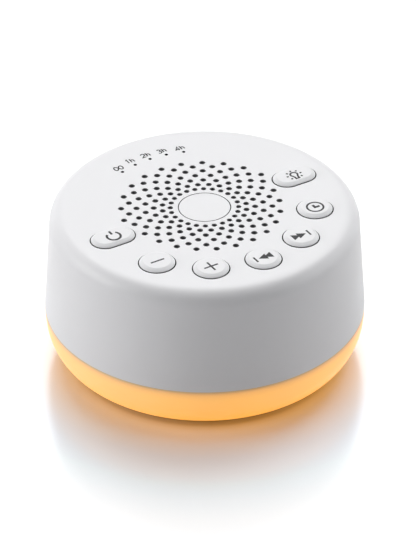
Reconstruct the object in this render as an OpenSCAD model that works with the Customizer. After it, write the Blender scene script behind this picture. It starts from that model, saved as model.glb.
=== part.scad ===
// Bedside sound machine: a white round housing over a glowing light ring.
// Z is up. The origin is on the table, under the middle of the body.
// The row of keys faces -Y and the power inlet is at the back, towards +Y.

/* [Housing] */
// Thickness of the housing's wall and top
wall = 2.2; // [1.6:0.1:2.8]
// How far the side wall leans in from the seam up to the rounded edge
wall_lean = 1.87; // [0:0.01:4]
// Width of the rounded edge, seen from above
edge_in = 5.5; // [4:0.1:8]
// Height of the rounded edge
edge_drop = 6.5; // [5:0.1:9]
// Power of the superellipse that rounds the edge; 2 is a plain ellipse
edge_power = 2.3; // [2:0.1:3]
// Flat margin between the outermost keys and the rounded edge
rim_margin = 2.73; // [1.5:0.01:8]

/* [Light ring] */
// Height of the light ring, from its underside to the seam
ring_h = 16.8; // [14:0.2:24]
// Radius at which the ring's side starts to curve up from its flat underside
ring_foot_r = 36; // [32:0.5:40]
// Power of the superellipse that rounds the ring
ring_power = 2.36; // [2:0.02:3]
// Wall thickness of the ring's side
ring_wall = 2.0; // [1.2:0.1:3]
// Thickness of the ring's floor
ring_floor = 2.2; // [1.8:0.1:3]
// Thickness of the inward flange at the top of the ring
ring_flange_t = 1.8; // [1.2:0.1:3]

/* [Grille] */
// Radius of the innermost ring of grille holes
grille_in_r = 10.55; // [9.8:0.05:12]
// How far the outermost ring lies outside the speaker's edge
grille_over = 0.7; // [-1:0.1:0.8]
// Number of rings
grille_rows = 7; // [5:1:7]
// Diameter of the holes in the outer rings
grille_hole_d = 1.95; // [1.2:0.05:2.1]
// How much smaller the holes of the innermost ring are
grille_taper = 0.25; // [0:0.05:0.5]
// Number of holes around each ring
grille_count = 24; // [12:4:28]
// Diameter of the cap in the middle of the grille
cap_d = 16; // [10:0.5:17]
// Depth of the recess that the cap is glued into
cap_recess = 0.8; // [0.4:0.1:1.2]
// How far the cap stands above the top face
cap_rise = 0; // [0:0.05:0.8]

/* [Keys] */
// Diameter of the five round keys
key_d = 11.1; // [9:0.1:12.4]
// Angle between neighbouring round keys
key_pitch = 28.2; // [26:0.1:31]
// Length of the two long keys
pill_l = 14.3; // [11:0.1:16]
// Width of the two long keys
pill_w = 9.1; // [7:0.1:11]
// How far the keys stand above the top face
key_rise = 1.0; // [0.6:0.1:2]
// Radius of the rounding on the keys' top edges
key_round = 0.9; // [0.2:0.1:1.2]
// How far a key travels down
key_travel = 0.5; // [0.2:0.05:0.9]
// Thickness of a key's top
key_top_t = 1.6; // [1:0.1:2.2]
// Thickness of a key's skirt
key_skirt_t = 1.2; // [0.8:0.1:1.8]
// Thickness of the flange that keeps a key in the housing
key_flange_t = 1.0; // [0.6:0.1:1.5]
// How far that flange reaches under the housing's top
key_flange_lap = 0.5; // [0.3:0.05:0.6]
// Diameter of the stem that presses the switch
key_stem_d = 3.4; // [2.4:0.1:5]
// Length of the stem below the flange
key_stem_l = 3.25; // [2:0.05:5]

/* [Switches and key board] */
// Side of the square switch body
switch_w = 6; // [4.5:0.1:7]
// Height of the switch body
switch_h = 3.5; // [2.8:0.1:5]
// Diameter of the switch's plunger
plunger_d = 3.4; // [2.4:0.1:4]
// Height of the plunger above the switch body
plunger_rise = 1.2; // [1:0.1:2]
// How deep the plunger sits in the switch body
plunger_depth = 1.1; // [0.6:0.1:1.4]
// Gap between the speaker's edge and the key board around it
key_board_gap = 5; // [2:0.5:6]
// Thickness of every circuit board
board_t = 1.6; // [0.8:0.1:2]

/* [Timer lights] */
// Distance from the speaker's edge to the row of timer lights
timer_out = 7.7; // [5.5:0.1:11]
// Angle between neighbouring timer lights
timer_pitch = 10; // [7:0.5:12]
// Diameter of the timer light holes
timer_hole_d = 1.0; // [0.8:0.1:1.6]
// Thickness of the clear bar that joins the light pipes
guide_t = 1.2; // [0.8:0.1:2]
// Width of that bar
guide_w = 2.4; // [1.8:0.1:3.4]

/* [Speaker] */
// Outer diameter of the speaker's basket
speaker_d = 50; // [48:0.5:56]
// Height of the basket, from the front plate to the top of its flange
basket_h = 12.75; // [11.5:0.25:18]
// Thickness of the basket's sheet
basket_t = 0.9; // [0.6:0.1:1.2]
// Diameter of the ring magnet
magnet_d = 30; // [26:0.5:36]
// Thickness of the ring magnet
magnet_h = 5; // [3:0.5:9]
// Thickness of the front plate above the magnet
front_plate_t = 2.5; // [1.5:0.1:4]
// Thickness of the yoke's plate below the magnet
yoke_t = 2.2; // [1.5:0.1:4]
// Diameter of the pole in the middle of the yoke
pole_d = 12.4; // [9:0.1:14]
// Thickness of the foam gasket above the speaker
gasket_t = 1.5; // [1.4:0.1:3]
// Thickness of the cloth behind the grille
cloth_t = 0.3; // [0.2:0.05:0.6]
// How far the cone moves each way
cone_travel = 0.8; // [0.3:0.1:1]
// Thickness of the cone's paper
cone_t = 0.5; // [0.3:0.1:0.8]
// Radius of the surround's half roll, at the middle of its rubber
roll_r = 1.25; // [0.8:0.05:1.5]
// Thickness of the surround's rubber
surround_t = 0.3; // [0.2:0.05:0.5]

/* [Chassis and boards] */
// Thickness of the chassis plate
chassis_t = 2.0; // [1.5:0.1:3.5]
// Height of the main board above the chassis
standoff_h = 2.5; // [2:0.1:5]
// Free height between the main board and the speaker
spare_h = 1.9; // [1.75:0.05:8]
// Gap between the main board and the bosses of the case screws
main_board_gap = 1.2; // [0.6:0.1:3]
// Inner radius of the ring-shaped light board
light_board_in = 28; // [26.5:0.5:30]
// Thickness of the light board
light_board_t = 1.2; // [0.8:0.1:2]
// Radius of the ring of warm lights
light_r = 35; // [33.5:0.5:36]
// Number of warm lights
light_count = 12; // [6:1:18]
// Side of a warm light's square case
light_w = 5; // [3:0.1:6]
// Height of a warm light's case
light_h = 1.5; // [0.8:0.1:2]

/* [Power inlet] */
// Height of the inlet's axis above the main board
inlet_axis_h = 6.4; // [5.5:0.1:8]
// Width of the inlet's body
inlet_w = 9; // [8.4:0.1:12]
// Length of the inlet's body
inlet_l = 13.8; // [12:0.1:16]
// Diameter of the round nose in the housing's hole
inlet_nose_d = 8; // [7.4:0.1:8.4]
// Bore that takes the plug's sleeve
inlet_bore_d = 6.4; // [5.6:0.1:6.8]
// Depth of that bore
inlet_bore_l = 9.5; // [8:0.1:10.5]
// Diameter of the centre pin
inlet_pin_d = 2.0; // [1.3:0.1:2.5]

/* [Base] */
// Height of the gap under the light ring, which the rubber feet hold open
foot_gap = 1.0; // [0.5:0.1:2.5]
// Diameter of a rubber foot
foot_d = 9; // [6:0.5:11]
// Margin between a foot and the edge of the bottom cover
foot_margin = 3.5; // [2.5:0.1:6]
// How deep a foot sits in the bottom cover
foot_recess = 1.0; // [0.5:0.1:1.4]
// Thickness of the cover's rim, under the light ring's lip
cover_rim_t = 1.2; // [0.8:0.1:1.6]
// Width of the overlap between the cover's rim and the ring's lip
cover_lap = 2.0; // [1:0.1:3]

/* [Screws] */
// Diameter of the case and cover screws
case_screw_d = 2.9; // [2:0.1:3.2]
// Head diameter of the case and cover screws
case_head_d = 5.4; // [4.6:0.1:5.8]
// Head height of the case and cover screws
case_head_h = 1.1; // [0.8:0.1:1.2]
// Length of the case screws
case_screw_l = 12; // [8:0.5:20]
// Length of the cover screws
cover_screw_l = 8; // [5:0.5:12]
// Diameter of the small board and speaker screws
small_screw_d = 1.5; // [1.2:0.1:1.8]
// Head diameter of the small screws
small_head_d = 3.6; // [3:0.1:4]
// Head height of the small screws
small_head_h = 1.1; // [0.8:0.1:1.4]
// Diameter of the bosses that take the case screws
case_boss_d = 6; // [5:0.1:6.4]
// Diameter of the bosses that take small screws
small_boss_d = 4; // [3.2:0.1:4.2]

/* [Clearances] */
// Gap around each key in its opening
key_gap = 0.2; // [0.08:0.01:0.3]
// Free play between a key's flange and the housing at rest
key_rest = 0.1; // [0.05:0.01:0.2]
// Running clearance around a plunger
plunger_fit = 0.08; // [0.02:0.01:0.1]
// Clearance around a screw in its pilot hole, and around a glued pin
screw_fit = 0.05; // [0.02:0.01:0.1]
// Clearance around a screw in the piece that it clamps
screw_pass = 0.2; // [0.1:0.05:0.4]
// Gap between pieces that sit side by side
side_gap = 0.2; // [0.1:0.05:0.4]
// Clear space between pieces that do not belong together
room = 0.3; // [0.2:0.05:0.6]
// Gap around the cap in its recess
cap_gap = 0.2; // [0.05:0.01:0.3]
// Gap between the voice coil and the steel on both sides of it
coil_gap = 0.5; // [0.3:0.05:0.7]

/* [Hidden] */

fine = 96;
round_fn = 48;
small_fn = 32;
edge_steps = 14;
eps = 0.01;
housing_white = [0.93, 0.93, 0.94];
board_green = [0.1, 0.35, 0.2];
black_plastic = [0.1, 0.1, 0.11];
screw_steel = [0.62, 0.63, 0.65];

// Heights, from the table up
seam_z = foot_gap + ring_h;
cover_top_z = foot_gap + ring_floor;
chassis_top_z = seam_z + chassis_t;
main_board_z = chassis_top_z + standoff_h;
main_board_top_z = main_board_z + board_t;
yoke_z = main_board_top_z + spare_h;
magnet_z = yoke_z + yoke_t;
front_plate_z = magnet_z + magnet_h;
basket_z = front_plate_z + front_plate_t;
flange_top_z = basket_z + basket_h;
cloth_z = flange_top_z + gasket_t;
under_z = cloth_z + cloth_t;
top_z = under_z + wall;
edge_z = top_z - edge_drop;

// Keys: the round ones stand on a circle around the speaker, the long ones beside it
round_key_margin = 3.45;
pill_margin = 0.6;
key_ring_r = speaker_d / 2 + round_key_margin + key_d / 2;
pill_x = speaker_d / 2 + pill_margin + pill_l / 2;
key_reach = max(key_ring_r + key_d / 2, pill_x + pill_l / 2);
pill_spread = (pill_l - pill_w) / 2;
key_top_z = top_z + key_rise;
key_flange_top_z = under_z - key_rest;
key_flange_z = key_flange_top_z - key_flange_t;
plunger_top_z = key_flange_z - key_stem_l;
switch_top_z = plunger_top_z - plunger_rise;
key_board_top_z = switch_top_z - switch_h;
key_board_z = key_board_top_z - board_t;
round_key_angles = [for (i = [-2:2]) 270 + i * key_pitch];
minus_a = round_key_angles[0];
plus_a = round_key_angles[1];
previous_a = round_key_angles[2];
next_a = round_key_angles[3];
timer_a = round_key_angles[4];
timer_angles = [for (i = [-2:2]) 90 + i * timer_pitch];

// Radii, from the keys out to the side wall
flat_r = key_reach + rim_margin;
edge_r = flat_r + edge_in;
body_r = edge_r + wall_lean;
small_boss_r = small_boss_d / 2;
board_boss_out = 3.2;
board_boss_ring_r = key_ring_r + board_boss_out;
board_boss_angles = [22, 158, 270 - key_pitch / 2, 270 + key_pitch / 2];
board_rim = 1.7;
key_board_r = board_boss_ring_r + board_rim;
case_boss_ring_r = key_board_r + room + case_boss_d / 2;
case_boss_angles = [45, 135, 270 - 1.5 * key_pitch, 270 + 1.5 * key_pitch];
key_board_in = speaker_d / 2 + key_board_gap;
main_board_r = case_boss_ring_r - case_boss_d / 2 - main_board_gap;
head_room = 0.6;
ring_flange_in = case_boss_ring_r + case_head_d / 2 + head_room;
light_board_r = case_boss_ring_r - case_head_d / 2 - room;
chassis_r = body_r - wall - side_gap - wall_lean * chassis_t / (edge_z - seam_z);
speaker_boss_gap = 0.4;
speaker_boss_ring_r = speaker_d / 2 + small_boss_r + speaker_boss_gap;
timer_r = speaker_d / 2 + timer_out;
grille_step = 360 / grille_count;
grille_swell = 0.24;
grille_bend = 0.3;
grille_out_r = speaker_d / 2 + grille_over;
speaker_boss_angles = [3.5 * grille_step, 180 - 3.5 * grille_step,
                       270 - 1.5 * key_pitch, 270 + 1.5 * key_pitch];
rib_t = 1.4;
rib_drop = 5;
rib_top_z = edge_z - rib_drop;
rib_bite = 0.4;
cloth_lap = 0.4;
cloth_r = grille_out_r + grille_hole_d / 2 + cloth_lap;
pilot_spare = 1.0;
tip_gap = 0.4;

// Light ring, bottom cover and the posts between the chassis and the cover
rebate_r = ring_foot_r - room;
cover_r = rebate_r - side_gap;
foot_ring_r = cover_r - foot_margin - foot_d / 2;
lip_r = rebate_r - cover_lap;
spigot_r = lip_r - side_gap;
post_d = 7;
post_ring_r = 22;
post_angles = [0, 90, 180, 270];
foot_angles = [45, 135, 225, 315];
head_sink = 0.1;
head_seat_z = foot_gap + case_head_h + head_sink;

// Speaker
basket_flange_w = 3.2;
gasket_w = 1.9;
roll_gap = 0.15;
flange_in_r = speaker_d / 2 - basket_flange_w;
gasket_in_r = speaker_d / 2 - gasket_w;
lip_out_r = gasket_in_r - side_gap;
roll_mid_r = flange_in_r - room - roll_r - surround_t / 2;
cone_rim_r = roll_mid_r - roll_r - surround_t / 2 - roll_gap;
cone_lip = 0.6;
former_t = 0.3;
winding_t = 0.35;
winding_h = front_plate_t + 2 * cone_travel;
former_r = pole_d / 2 + coil_gap;
former_out_r = former_r + former_t;
winding_r = former_out_r + winding_t;
plate_hole_r = winding_r + coil_gap;
plate_lip = 1.5;
magnet_lip = 1.1;
basket_hole_r = plate_hole_r + plate_lip;
magnet_hole_r = plate_hole_r + magnet_lip;
coil_z = front_plate_z - cone_travel;
neck_rise = 7.1;
neck_z = basket_z + neck_rise;
neck_drop = 0.6;
cone_neck_r = former_out_r + screw_fit;
cone_bend = 0.3;
ledge_rise = 4.8;
ledge_z = basket_z + ledge_rise;
ledge_out = 0.7;
ledge_r = magnet_d / 2 + ledge_out;
seat_in = 0.6;
seat_r = magnet_d / 2 - seat_in;
plate_in = 1;
plate_r = magnet_d / 2 - plate_in;
waist_rise = 4.6;
basket_waist_z = ledge_z + waist_rise;
window_w = 12;
window_gap = 0.6;
ear_margin = 0.8;
dome_lap = 1.5;
dome_r = cone_neck_r + dome_lap;
dome_h = 2.4;
dome_t = 0.3;
spider_t = 0.3;
spider_wave = 0.5;
spider_waves = 3;
spider_steps = 36;
tag_w = 8;
tag_t = 0.8;
tag_h = 5.7;
tag_lug_w = 1.6;
tag_gap = 0.1;
tag_y = flange_in_r + basket_t + tag_gap;

// Main board and what stands on it
main_boss_in = 3.5;
main_boss_ring_r = main_board_r - main_boss_in;
main_boss_angles = [25, 155, 205, 335];
main_boss_d = 5;
inlet_z = main_board_top_z + inlet_axis_h;
inlet_h = inlet_axis_h + inlet_w / 2;
inlet_wall_gap = 0.15;
inlet_wall_r = wall_r(inlet_z + inlet_w / 2) - wall;
inlet_front_y = sqrt(pow(inlet_wall_r, 2) - pow(inlet_w / 2, 2)) - inlet_wall_gap;
inlet_nose_l = 2;
inlet_root_l = 2.4;
inlet_root_d = inlet_pin_d + 0.6;
inlet_pin_set_in = 1;
inlet_hole_d = inlet_nose_d + 2 * room;
tongue_w = 16;
tongue_y = inlet_front_y - room;
socket_gap = 2;
speaker_socket = [7.5, 5, 4];
speaker_socket_y = inlet_front_y - inlet_l - socket_gap - speaker_socket[1] / 2;
key_socket_a = 150;
key_socket_r = 25.5;
key_socket = [4.5, 9, 3];
light_lead_a = 270;
light_lead_in = 3;
light_lead_r = light_board_in + light_lead_in;
light_lead_gap = 2.5;
lead_d = 1.2;
light_lead_hole_r = (light_lead_gap + lead_d) / 2 + 0.6;
light_screw_in = 2.2;
light_screw_ring_r = light_board_in + light_screw_in;
light_screw_angles = [60, 180, 300];

// Radius of the housing's outer side wall at the height z
function wall_r(z) = body_r - wall_lean * (z - seam_z) / (edge_z - seam_z);

// Radius and hole size of each ring in the grille: the rings lie wider apart in its outer half,
// and the holes grow quickly to their full size
function grille_r(i) = let (t = i / (grille_rows - 1))
    grille_in_r + (grille_out_r - grille_in_r) * (t + grille_swell * t * (1 - t) * (t - grille_bend));
function grille_d(i) = grille_hole_d - grille_taper * pow(0.4, i);

// Quarter of a superellipse around [r, z], from [r + a, z] to [r, z + b]
function quarter(r, z, a, b, power) =
    [for (i = [0:edge_steps]) let (t = 90 * i / edge_steps)
        [r + a * pow(cos(t), 2 / power), z + b * pow(sin(t), 2 / power)]];

function reversed(list) = [for (i = [len(list) - 1:-1:0]) list[i]];

// Points of a circle's arc around [x, y] from angle a0 to a1
function arc(x, y, r, a0, a1, steps) =
    [for (i = [0:steps]) let (t = a0 + (a1 - a0) * i / steps) [x + r * cos(t), y + r * sin(t)]];

module at_polar(r, a, z = 0) {
    rotate(a) translate([r, 0, z]) children();
}

module at_ring(r, angles, z = 0) {
    for (a = angles) at_polar(r, a, z) children();
}

// A flat-bottomed tube, or a disc when the inner radius is 0
module tube(r_out, r_in, h, fn = fine) {
    difference() {
        cylinder(r = r_out, h = h, $fn = fn);
        if (r_in > 0) translate([0, 0, -1]) cylinder(r = r_in, h = h + 2, $fn = fn);
    }
}

// A screw that points up, with its head below z = 0 and a cross recess in the head
module screw(d, l, head_d, head_h) {
    recess_l = head_d * 0.6;
    recess_w = head_d * 0.16;
    recess_h = head_h * 0.6;
    difference() {
        union() {
            translate([0, 0, -head_h]) cylinder(d = head_d, h = head_h, $fn = small_fn);
            translate([0, 0, -eps]) cylinder(d = d, h = l + eps, $fn = small_fn);
        }
        for (s = [[recess_l, recess_w], [recess_w, recess_l]])
            translate([-s[0] / 2, -s[1] / 2, -head_h - eps]) cube([s[0], s[1], recess_h + eps]);
    }
}

module small_screw(l) {
    color(screw_steel) screw(small_screw_d, l, small_head_d, small_head_h);
}

// A hole for a screw's shank, from z = 0 up to h
module pilot(d, h, fit = screw_fit) {
    translate([0, 0, -eps]) cylinder(r = d / 2 + fit, h = h + eps, $fn = small_fn);
}

// ---- Housing ----

module housing_shell() {
    outer = quarter(flat_r, edge_z, edge_in, edge_drop, edge_power);
    inner = quarter(flat_r, edge_z, edge_in - wall, edge_drop - wall, edge_power);
    rotate_extrude($fn = fine)
        polygon(concat([[body_r, seam_z]], outer, [[0, top_z], [0, under_z]],
                       reversed(inner), [[body_r - wall, seam_z]]));
}

module housing_bosses() {
    at_ring(case_boss_ring_r, case_boss_angles, chassis_top_z)
        cylinder(d = case_boss_d, h = under_z - chassis_top_z + eps, $fn = small_fn);
    rib_l = wall_r(rib_top_z) - rib_bite - case_boss_ring_r;
    at_ring(case_boss_ring_r, case_boss_angles, chassis_top_z)
        translate([0, -rib_t / 2, 0]) cube([rib_l, rib_t, rib_top_z - chassis_top_z]);
    at_ring(speaker_boss_ring_r, speaker_boss_angles, flange_top_z)
        cylinder(r = small_boss_r, h = under_z - flange_top_z + eps, $fn = small_fn);
    at_ring(board_boss_ring_r, board_boss_angles, key_board_top_z)
        cylinder(r = small_boss_r, h = under_z - key_board_top_z + eps, $fn = small_fn);
}

module boss_holes() {
    at_ring(case_boss_ring_r, case_boss_angles, chassis_top_z)
        pilot(case_screw_d, case_screw_l - chassis_t + 1);
    at_ring(speaker_boss_ring_r, speaker_boss_angles, flange_top_z)
        pilot(small_screw_d, top_z - pilot_spare - flange_top_z);
    at_ring(board_boss_ring_r, board_boss_angles, key_board_top_z)
        pilot(small_screw_d, board_screw_l);
}

module grille_cuts() {
    for (i = [0:grille_rows - 1])
        for (k = [0:grille_count - 1]) {
            a = grille_step * (k + (i % 2) / 2);
            last = i == grille_rows - 1;
            if (!last || (a > 1 && a < 179))
                at_polar(grille_r(i), a, under_z - 1)
                    cylinder(d = grille_d(i), h = wall + 2, $fn = 24);
        }
}

// A round or long hole: two cylinders and the box between them
module slot(w, spread, h) {
    for (s = [-1, 1]) translate([s * spread, 0, 0]) cylinder(d = w, h = h, $fn = round_fn);
    if (spread > 0) translate([-spread, -w / 2, 0]) cube([2 * spread, w, h]);
}

module key_openings() {
    at_ring(key_ring_r, round_key_angles, under_z - 1)
        slot(key_d + 2 * key_gap, 0, wall + 2);
    for (x = [-pill_x, pill_x]) translate([x, 0, under_z - 1])
        slot(pill_w + 2 * key_gap, pill_spread, wall + 2);
}

module top_housing() {
    color(housing_white) difference() {
        union() {
            housing_shell();
            housing_bosses();
        }
        boss_holes();
        grille_cuts();
        key_openings();
        at_ring(timer_r, timer_angles, under_z - 1)
            cylinder(d = timer_hole_d, h = wall + 2, $fn = 24);
        translate([0, 0, top_z - cap_recess])
            cylinder(r = cap_d / 2 + cap_gap, h = cap_recess + 1, $fn = fine);
        translate([0, inlet_front_y - 2, inlet_z]) rotate([-90, 0, 0])
            cylinder(d = inlet_hole_d, h = body_r - inlet_front_y + 4, $fn = round_fn);
    }
}

module centre_cap() {
    r = cap_d / 2;
    z = top_z - cap_recess;
    h = cap_recess + cap_rise;
    cap_round = min(0.25, h / 2);
    color(housing_white) translate([0, 0, z]) rotate_extrude($fn = fine)
        polygon(concat([[0, 0], [r, 0]], arc(r - cap_round, h - cap_round, cap_round, 0, 90, 4),
                       [[0, h]]));
}

// ---- Keys ----

board_screw_l = 5;

// Right half of a key's outer outline, h above its flange
function key_outline(r, h) =
    concat([[0, 0], [r, 0]], arc(r - key_round, h - key_round, key_round, 0, 90, 8), [[0, h]]);

// Solid outside of a key: round, or long when spread is over 0
module key_outside(w, spread, h) {
    half = key_outline(w / 2, h);
    for (s = [-1, 1]) translate([s * spread, 0, 0]) rotate_extrude($fn = round_fn) polygon(half);
    if (spread > 0)
        rotate([90, 0, 90]) translate([0, 0, -spread]) linear_extrude(2 * spread)
            polygon(concat(half, [for (p = reversed(half)) [-p[0], p[1]]]));
}

// A key's flange: all round on a round key, along both sides of a long one
module key_flange(w, spread) {
    flange_w = w + 2 * (key_gap + key_flange_lap);
    if (spread > 0) translate([-spread, -flange_w / 2, 0]) cube([2 * spread, flange_w, key_flange_t]);
    else cylinder(d = flange_w, h = key_flange_t, $fn = round_fn);
}

module key(w, spread) {
    h = key_top_z - key_flange_z;
    color(housing_white) translate([0, 0, key_flange_z]) {
        difference() {
            union() {
                key_outside(w, spread, h);
                key_flange(w, spread);
            }
            translate([0, 0, -eps]) slot(w - 2 * key_skirt_t, spread, h - key_top_t + eps);
        }
        translate([0, 0, -key_stem_l])
            cylinder(d = key_stem_d, h = key_stem_l + h - key_top_t + eps, $fn = small_fn);
    }
}

module round_key(a) {
    at_polar(key_ring_r, a) key(key_d, 0);
}

module pill_key(side) {
    translate([side * pill_x, 0, 0]) key(pill_w, pill_spread);
}

module power_key() { pill_key(-1); }
module minus_key() { round_key(minus_a); }
module plus_key() { round_key(plus_a); }
module previous_key() { round_key(previous_a); }
module next_key() { round_key(next_a); }
module timer_key() { round_key(timer_a); }
module light_key() { pill_key(1); }

module plunger() {
    color([0.16, 0.16, 0.17]) translate([0, 0, switch_top_z - plunger_depth])
        cylinder(d = plunger_d, h = plunger_depth + plunger_rise, $fn = small_fn);
}

module power_plunger() { translate([-pill_x, 0, 0]) plunger(); }
module minus_plunger() { at_polar(key_ring_r, minus_a) plunger(); }
module plus_plunger() { at_polar(key_ring_r, plus_a) plunger(); }
module previous_plunger() { at_polar(key_ring_r, previous_a) plunger(); }
module next_plunger() { at_polar(key_ring_r, next_a) plunger(); }
module timer_plunger() { at_polar(key_ring_r, timer_a) plunger(); }
module light_plunger() { translate([pill_x, 0, 0]) plunger(); }

module tact_switch() {
    well_h = plunger_depth + key_travel + 0.3;
    difference() {
        translate([-switch_w / 2, -switch_w / 2, key_board_top_z])
            cube([switch_w, switch_w, switch_h]);
        translate([0, 0, switch_top_z - well_h])
            cylinder(r = plunger_d / 2 + plunger_fit, h = well_h + 1, $fn = small_fn);
    }
}

module tact_switches() {
    color(black_plastic) {
        at_ring(key_ring_r, round_key_angles) tact_switch();
        for (x = [-pill_x, pill_x]) translate([x, 0, 0]) tact_switch();
    }
}

module key_board() {
    color(board_green) translate([0, 0, key_board_z]) difference() {
        tube(key_board_r, key_board_in, board_t);
        at_ring(board_boss_ring_r, board_boss_angles) pilot(small_screw_d, board_t + 1, screw_pass);
    }
}

module key_board_screws() {
    at_ring(board_boss_ring_r, board_boss_angles, key_board_z) small_screw(board_screw_l);
}

// ---- Timer lights ----

timer_led = [1.6, 0.8, 0.7];
pipe_gap = 0.1;
pipe_d = timer_hole_d - 2 * pipe_gap;
pipe_foot_d = 2.0;
pipe_set_in = 0.7;
guide_end = 4;

module timer_leds() {
    color([0.95, 0.93, 0.8]) at_ring(timer_r, timer_angles, key_board_top_z)
        translate([-timer_led[1] / 2, -timer_led[0] / 2, 0])
            cube([timer_led[1], timer_led[0], timer_led[2]]);
}

// A clear bar under the top, with a light pipe up into each hole and down to each light
module timer_light_guide() {
    span = timer_angles[len(timer_angles) - 1] - timer_angles[0] + 2 * guide_end;
    foot_z = key_board_top_z + timer_led[2] + room;
    bar_z = under_z - guide_t;
    color([0.85, 0.9, 0.92, 0.6]) {
        rotate(90 - span / 2) rotate_extrude(angle = span, $fn = fine)
            translate([timer_r - guide_w / 2, bar_z]) square([guide_w, guide_t]);
        at_ring(timer_r, timer_angles, bar_z + eps)
            cylinder(d = pipe_d, h = top_z - pipe_set_in - bar_z - eps, $fn = 24);
        at_ring(timer_r, timer_angles, foot_z)
            cylinder(d = pipe_foot_d, h = bar_z - foot_z + eps, $fn = 24);
    }
}

// ---- Speaker ----

module dust_cloth() {
    color([0.16, 0.16, 0.17]) translate([0, 0, cloth_z]) difference() {
        cylinder(r = cloth_r, h = cloth_t, $fn = fine);
        at_ring(speaker_boss_ring_r, speaker_boss_angles, -1)
            cylinder(r = small_boss_r + room, h = cloth_t + 2, $fn = small_fn);
        for (x = [-pill_x, pill_x]) translate([x, 0, -1])
            slot(pill_w + 2 * (key_gap + key_flange_lap + room), pill_spread, cloth_t + 2);
    }
}

module speaker_gasket() {
    color([0.2, 0.2, 0.21]) translate([0, 0, flange_top_z])
        tube(speaker_d / 2, gasket_in_r, gasket_t);
}

module basket_body() {
    rotate_extrude($fn = fine) polygon([
        [basket_hole_r, basket_z],
        [seat_r, basket_z],
        [seat_r, ledge_z - basket_t],
        [ledge_r + basket_t / 2, ledge_z - basket_t],
        [flange_in_r + basket_t, basket_waist_z - basket_t / 2],
        [flange_in_r + basket_t, flange_top_z - basket_t],
        [speaker_d / 2, flange_top_z - basket_t],
        [speaker_d / 2, flange_top_z],
        [flange_in_r, flange_top_z],
        [flange_in_r, basket_waist_z],
        [ledge_r, ledge_z],
        [seat_r - basket_t, ledge_z],
        [seat_r - basket_t, basket_z + basket_t],
        [basket_hole_r, basket_z + basket_t]]);
}

module speaker_basket() {
    ear_d = small_boss_d + ear_margin;
    window_z = ledge_z + window_gap;
    window_h = basket_waist_z - window_gap - window_z;
    color([0.3, 0.31, 0.33]) difference() {
        union() {
            basket_body();
            at_ring(speaker_boss_ring_r, speaker_boss_angles, flange_top_z - basket_t) {
                cylinder(d = ear_d, h = basket_t, $fn = small_fn);
                translate([-small_boss_d, -ear_d / 2, 0]) cube([small_boss_d, ear_d, basket_t]);
            }
        }
        at_ring(speaker_boss_ring_r, speaker_boss_angles, flange_top_z - basket_t)
            pilot(small_screw_d, basket_t + 1, screw_pass);
        for (a = [0, 90, 180, 270])
            rotate(a) translate([ledge_r - 3, -window_w / 2, window_z])
                cube([speaker_d / 2, window_w, window_h]);
    }
}

// Half roll of rubber between the basket and the cone, with a flat lip on each side
module speaker_surround() {
    mid_z = flange_top_z + surround_t / 2;
    out_r = roll_r + surround_t / 2;
    in_r = roll_r - surround_t / 2;
    color([0.12, 0.12, 0.13]) rotate_extrude($fn = fine) {
        polygon(concat(arc(roll_mid_r, mid_z, out_r, 180, 360, 16),
                       arc(roll_mid_r, mid_z, in_r, 360, 180, 16)));
        translate([roll_mid_r + in_r, flange_top_z])
            square([lip_out_r - roll_mid_r - in_r, surround_t]);
        translate([cone_rim_r - cone_lip, flange_top_z])
            square([roll_mid_r - in_r - cone_rim_r + cone_lip, surround_t]);
    }
}

module speaker_cone() {
    color([0.14, 0.14, 0.15]) rotate_extrude($fn = fine) polygon([
        [cone_neck_r, neck_z],
        [cone_neck_r, neck_z + neck_drop],
        [cone_rim_r - cone_lip - cone_bend, flange_top_z],
        [cone_rim_r, flange_top_z],
        [cone_rim_r, flange_top_z - cone_t],
        [cone_rim_r - cone_lip, flange_top_z - cone_t]]);
}

// Height of the cone's upper face at the radius r
function cone_face_z(r) =
    neck_z + neck_drop
    + (r - cone_neck_r) / (cone_rim_r - cone_lip - cone_bend - cone_neck_r)
    * (flange_top_z - neck_z - neck_drop);

module dust_dome() {
    z = cone_face_z(dome_r);
    ball_r = (dome_r * dome_r + dome_h * dome_h) / (2 * dome_h);
    half = asin(dome_r / ball_r);
    inner_half = acos((ball_r - dome_h) / (ball_r - dome_t));
    foot_r = (ball_r - dome_t) * sin(inner_half);
    centre_z = z + dome_h - ball_r;
    color([0.1, 0.1, 0.11]) rotate_extrude($fn = fine)
        polygon(concat(arc(0, centre_z, ball_r, 90 - half, 90, 10),
                       arc(0, centre_z, ball_r - dome_t, 90, 90 - inner_half, 10),
                       [[foot_r, cone_face_z(foot_r)]]));
}

// The former's tube, from the magnet's gap up to the cone, with the winding at its foot
module voice_coil() {
    color([0.72, 0.45, 0.2]) {
        translate([0, 0, coil_z]) tube(former_out_r, former_r, neck_z + neck_drop - coil_z);
        translate([0, 0, coil_z]) tube(winding_r, former_out_r - eps, winding_h);
    }
}

// Corrugated disc that centres the coil: rings of waves between the coil and the ledge
module speaker_spider() {
    r0 = former_out_r + screw_fit;
    r1 = seat_r - basket_t;
    function wave(i, side) = let (f = i / spider_steps)
        [r0 + (r1 - r0) * f, ledge_z + spider_wave * sin(360 * spider_waves * f) + side];
    color([0.75, 0.55, 0.25]) rotate_extrude($fn = fine) {
        polygon(concat([for (i = [0:spider_steps]) wave(i, 0)],
                       [for (i = [spider_steps:-1:0]) wave(i, spider_t)]));
        translate([r1 - eps, ledge_z]) square([ledge_r - r1 - room, spider_t]);
    }
}

module front_plate() {
    color(screw_steel) translate([0, 0, front_plate_z])
        tube(plate_r, plate_hole_r, front_plate_t);
}

module ring_magnet() {
    color([0.22, 0.22, 0.23]) translate([0, 0, magnet_z])
        tube(magnet_d / 2, magnet_hole_r, magnet_h);
}

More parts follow.
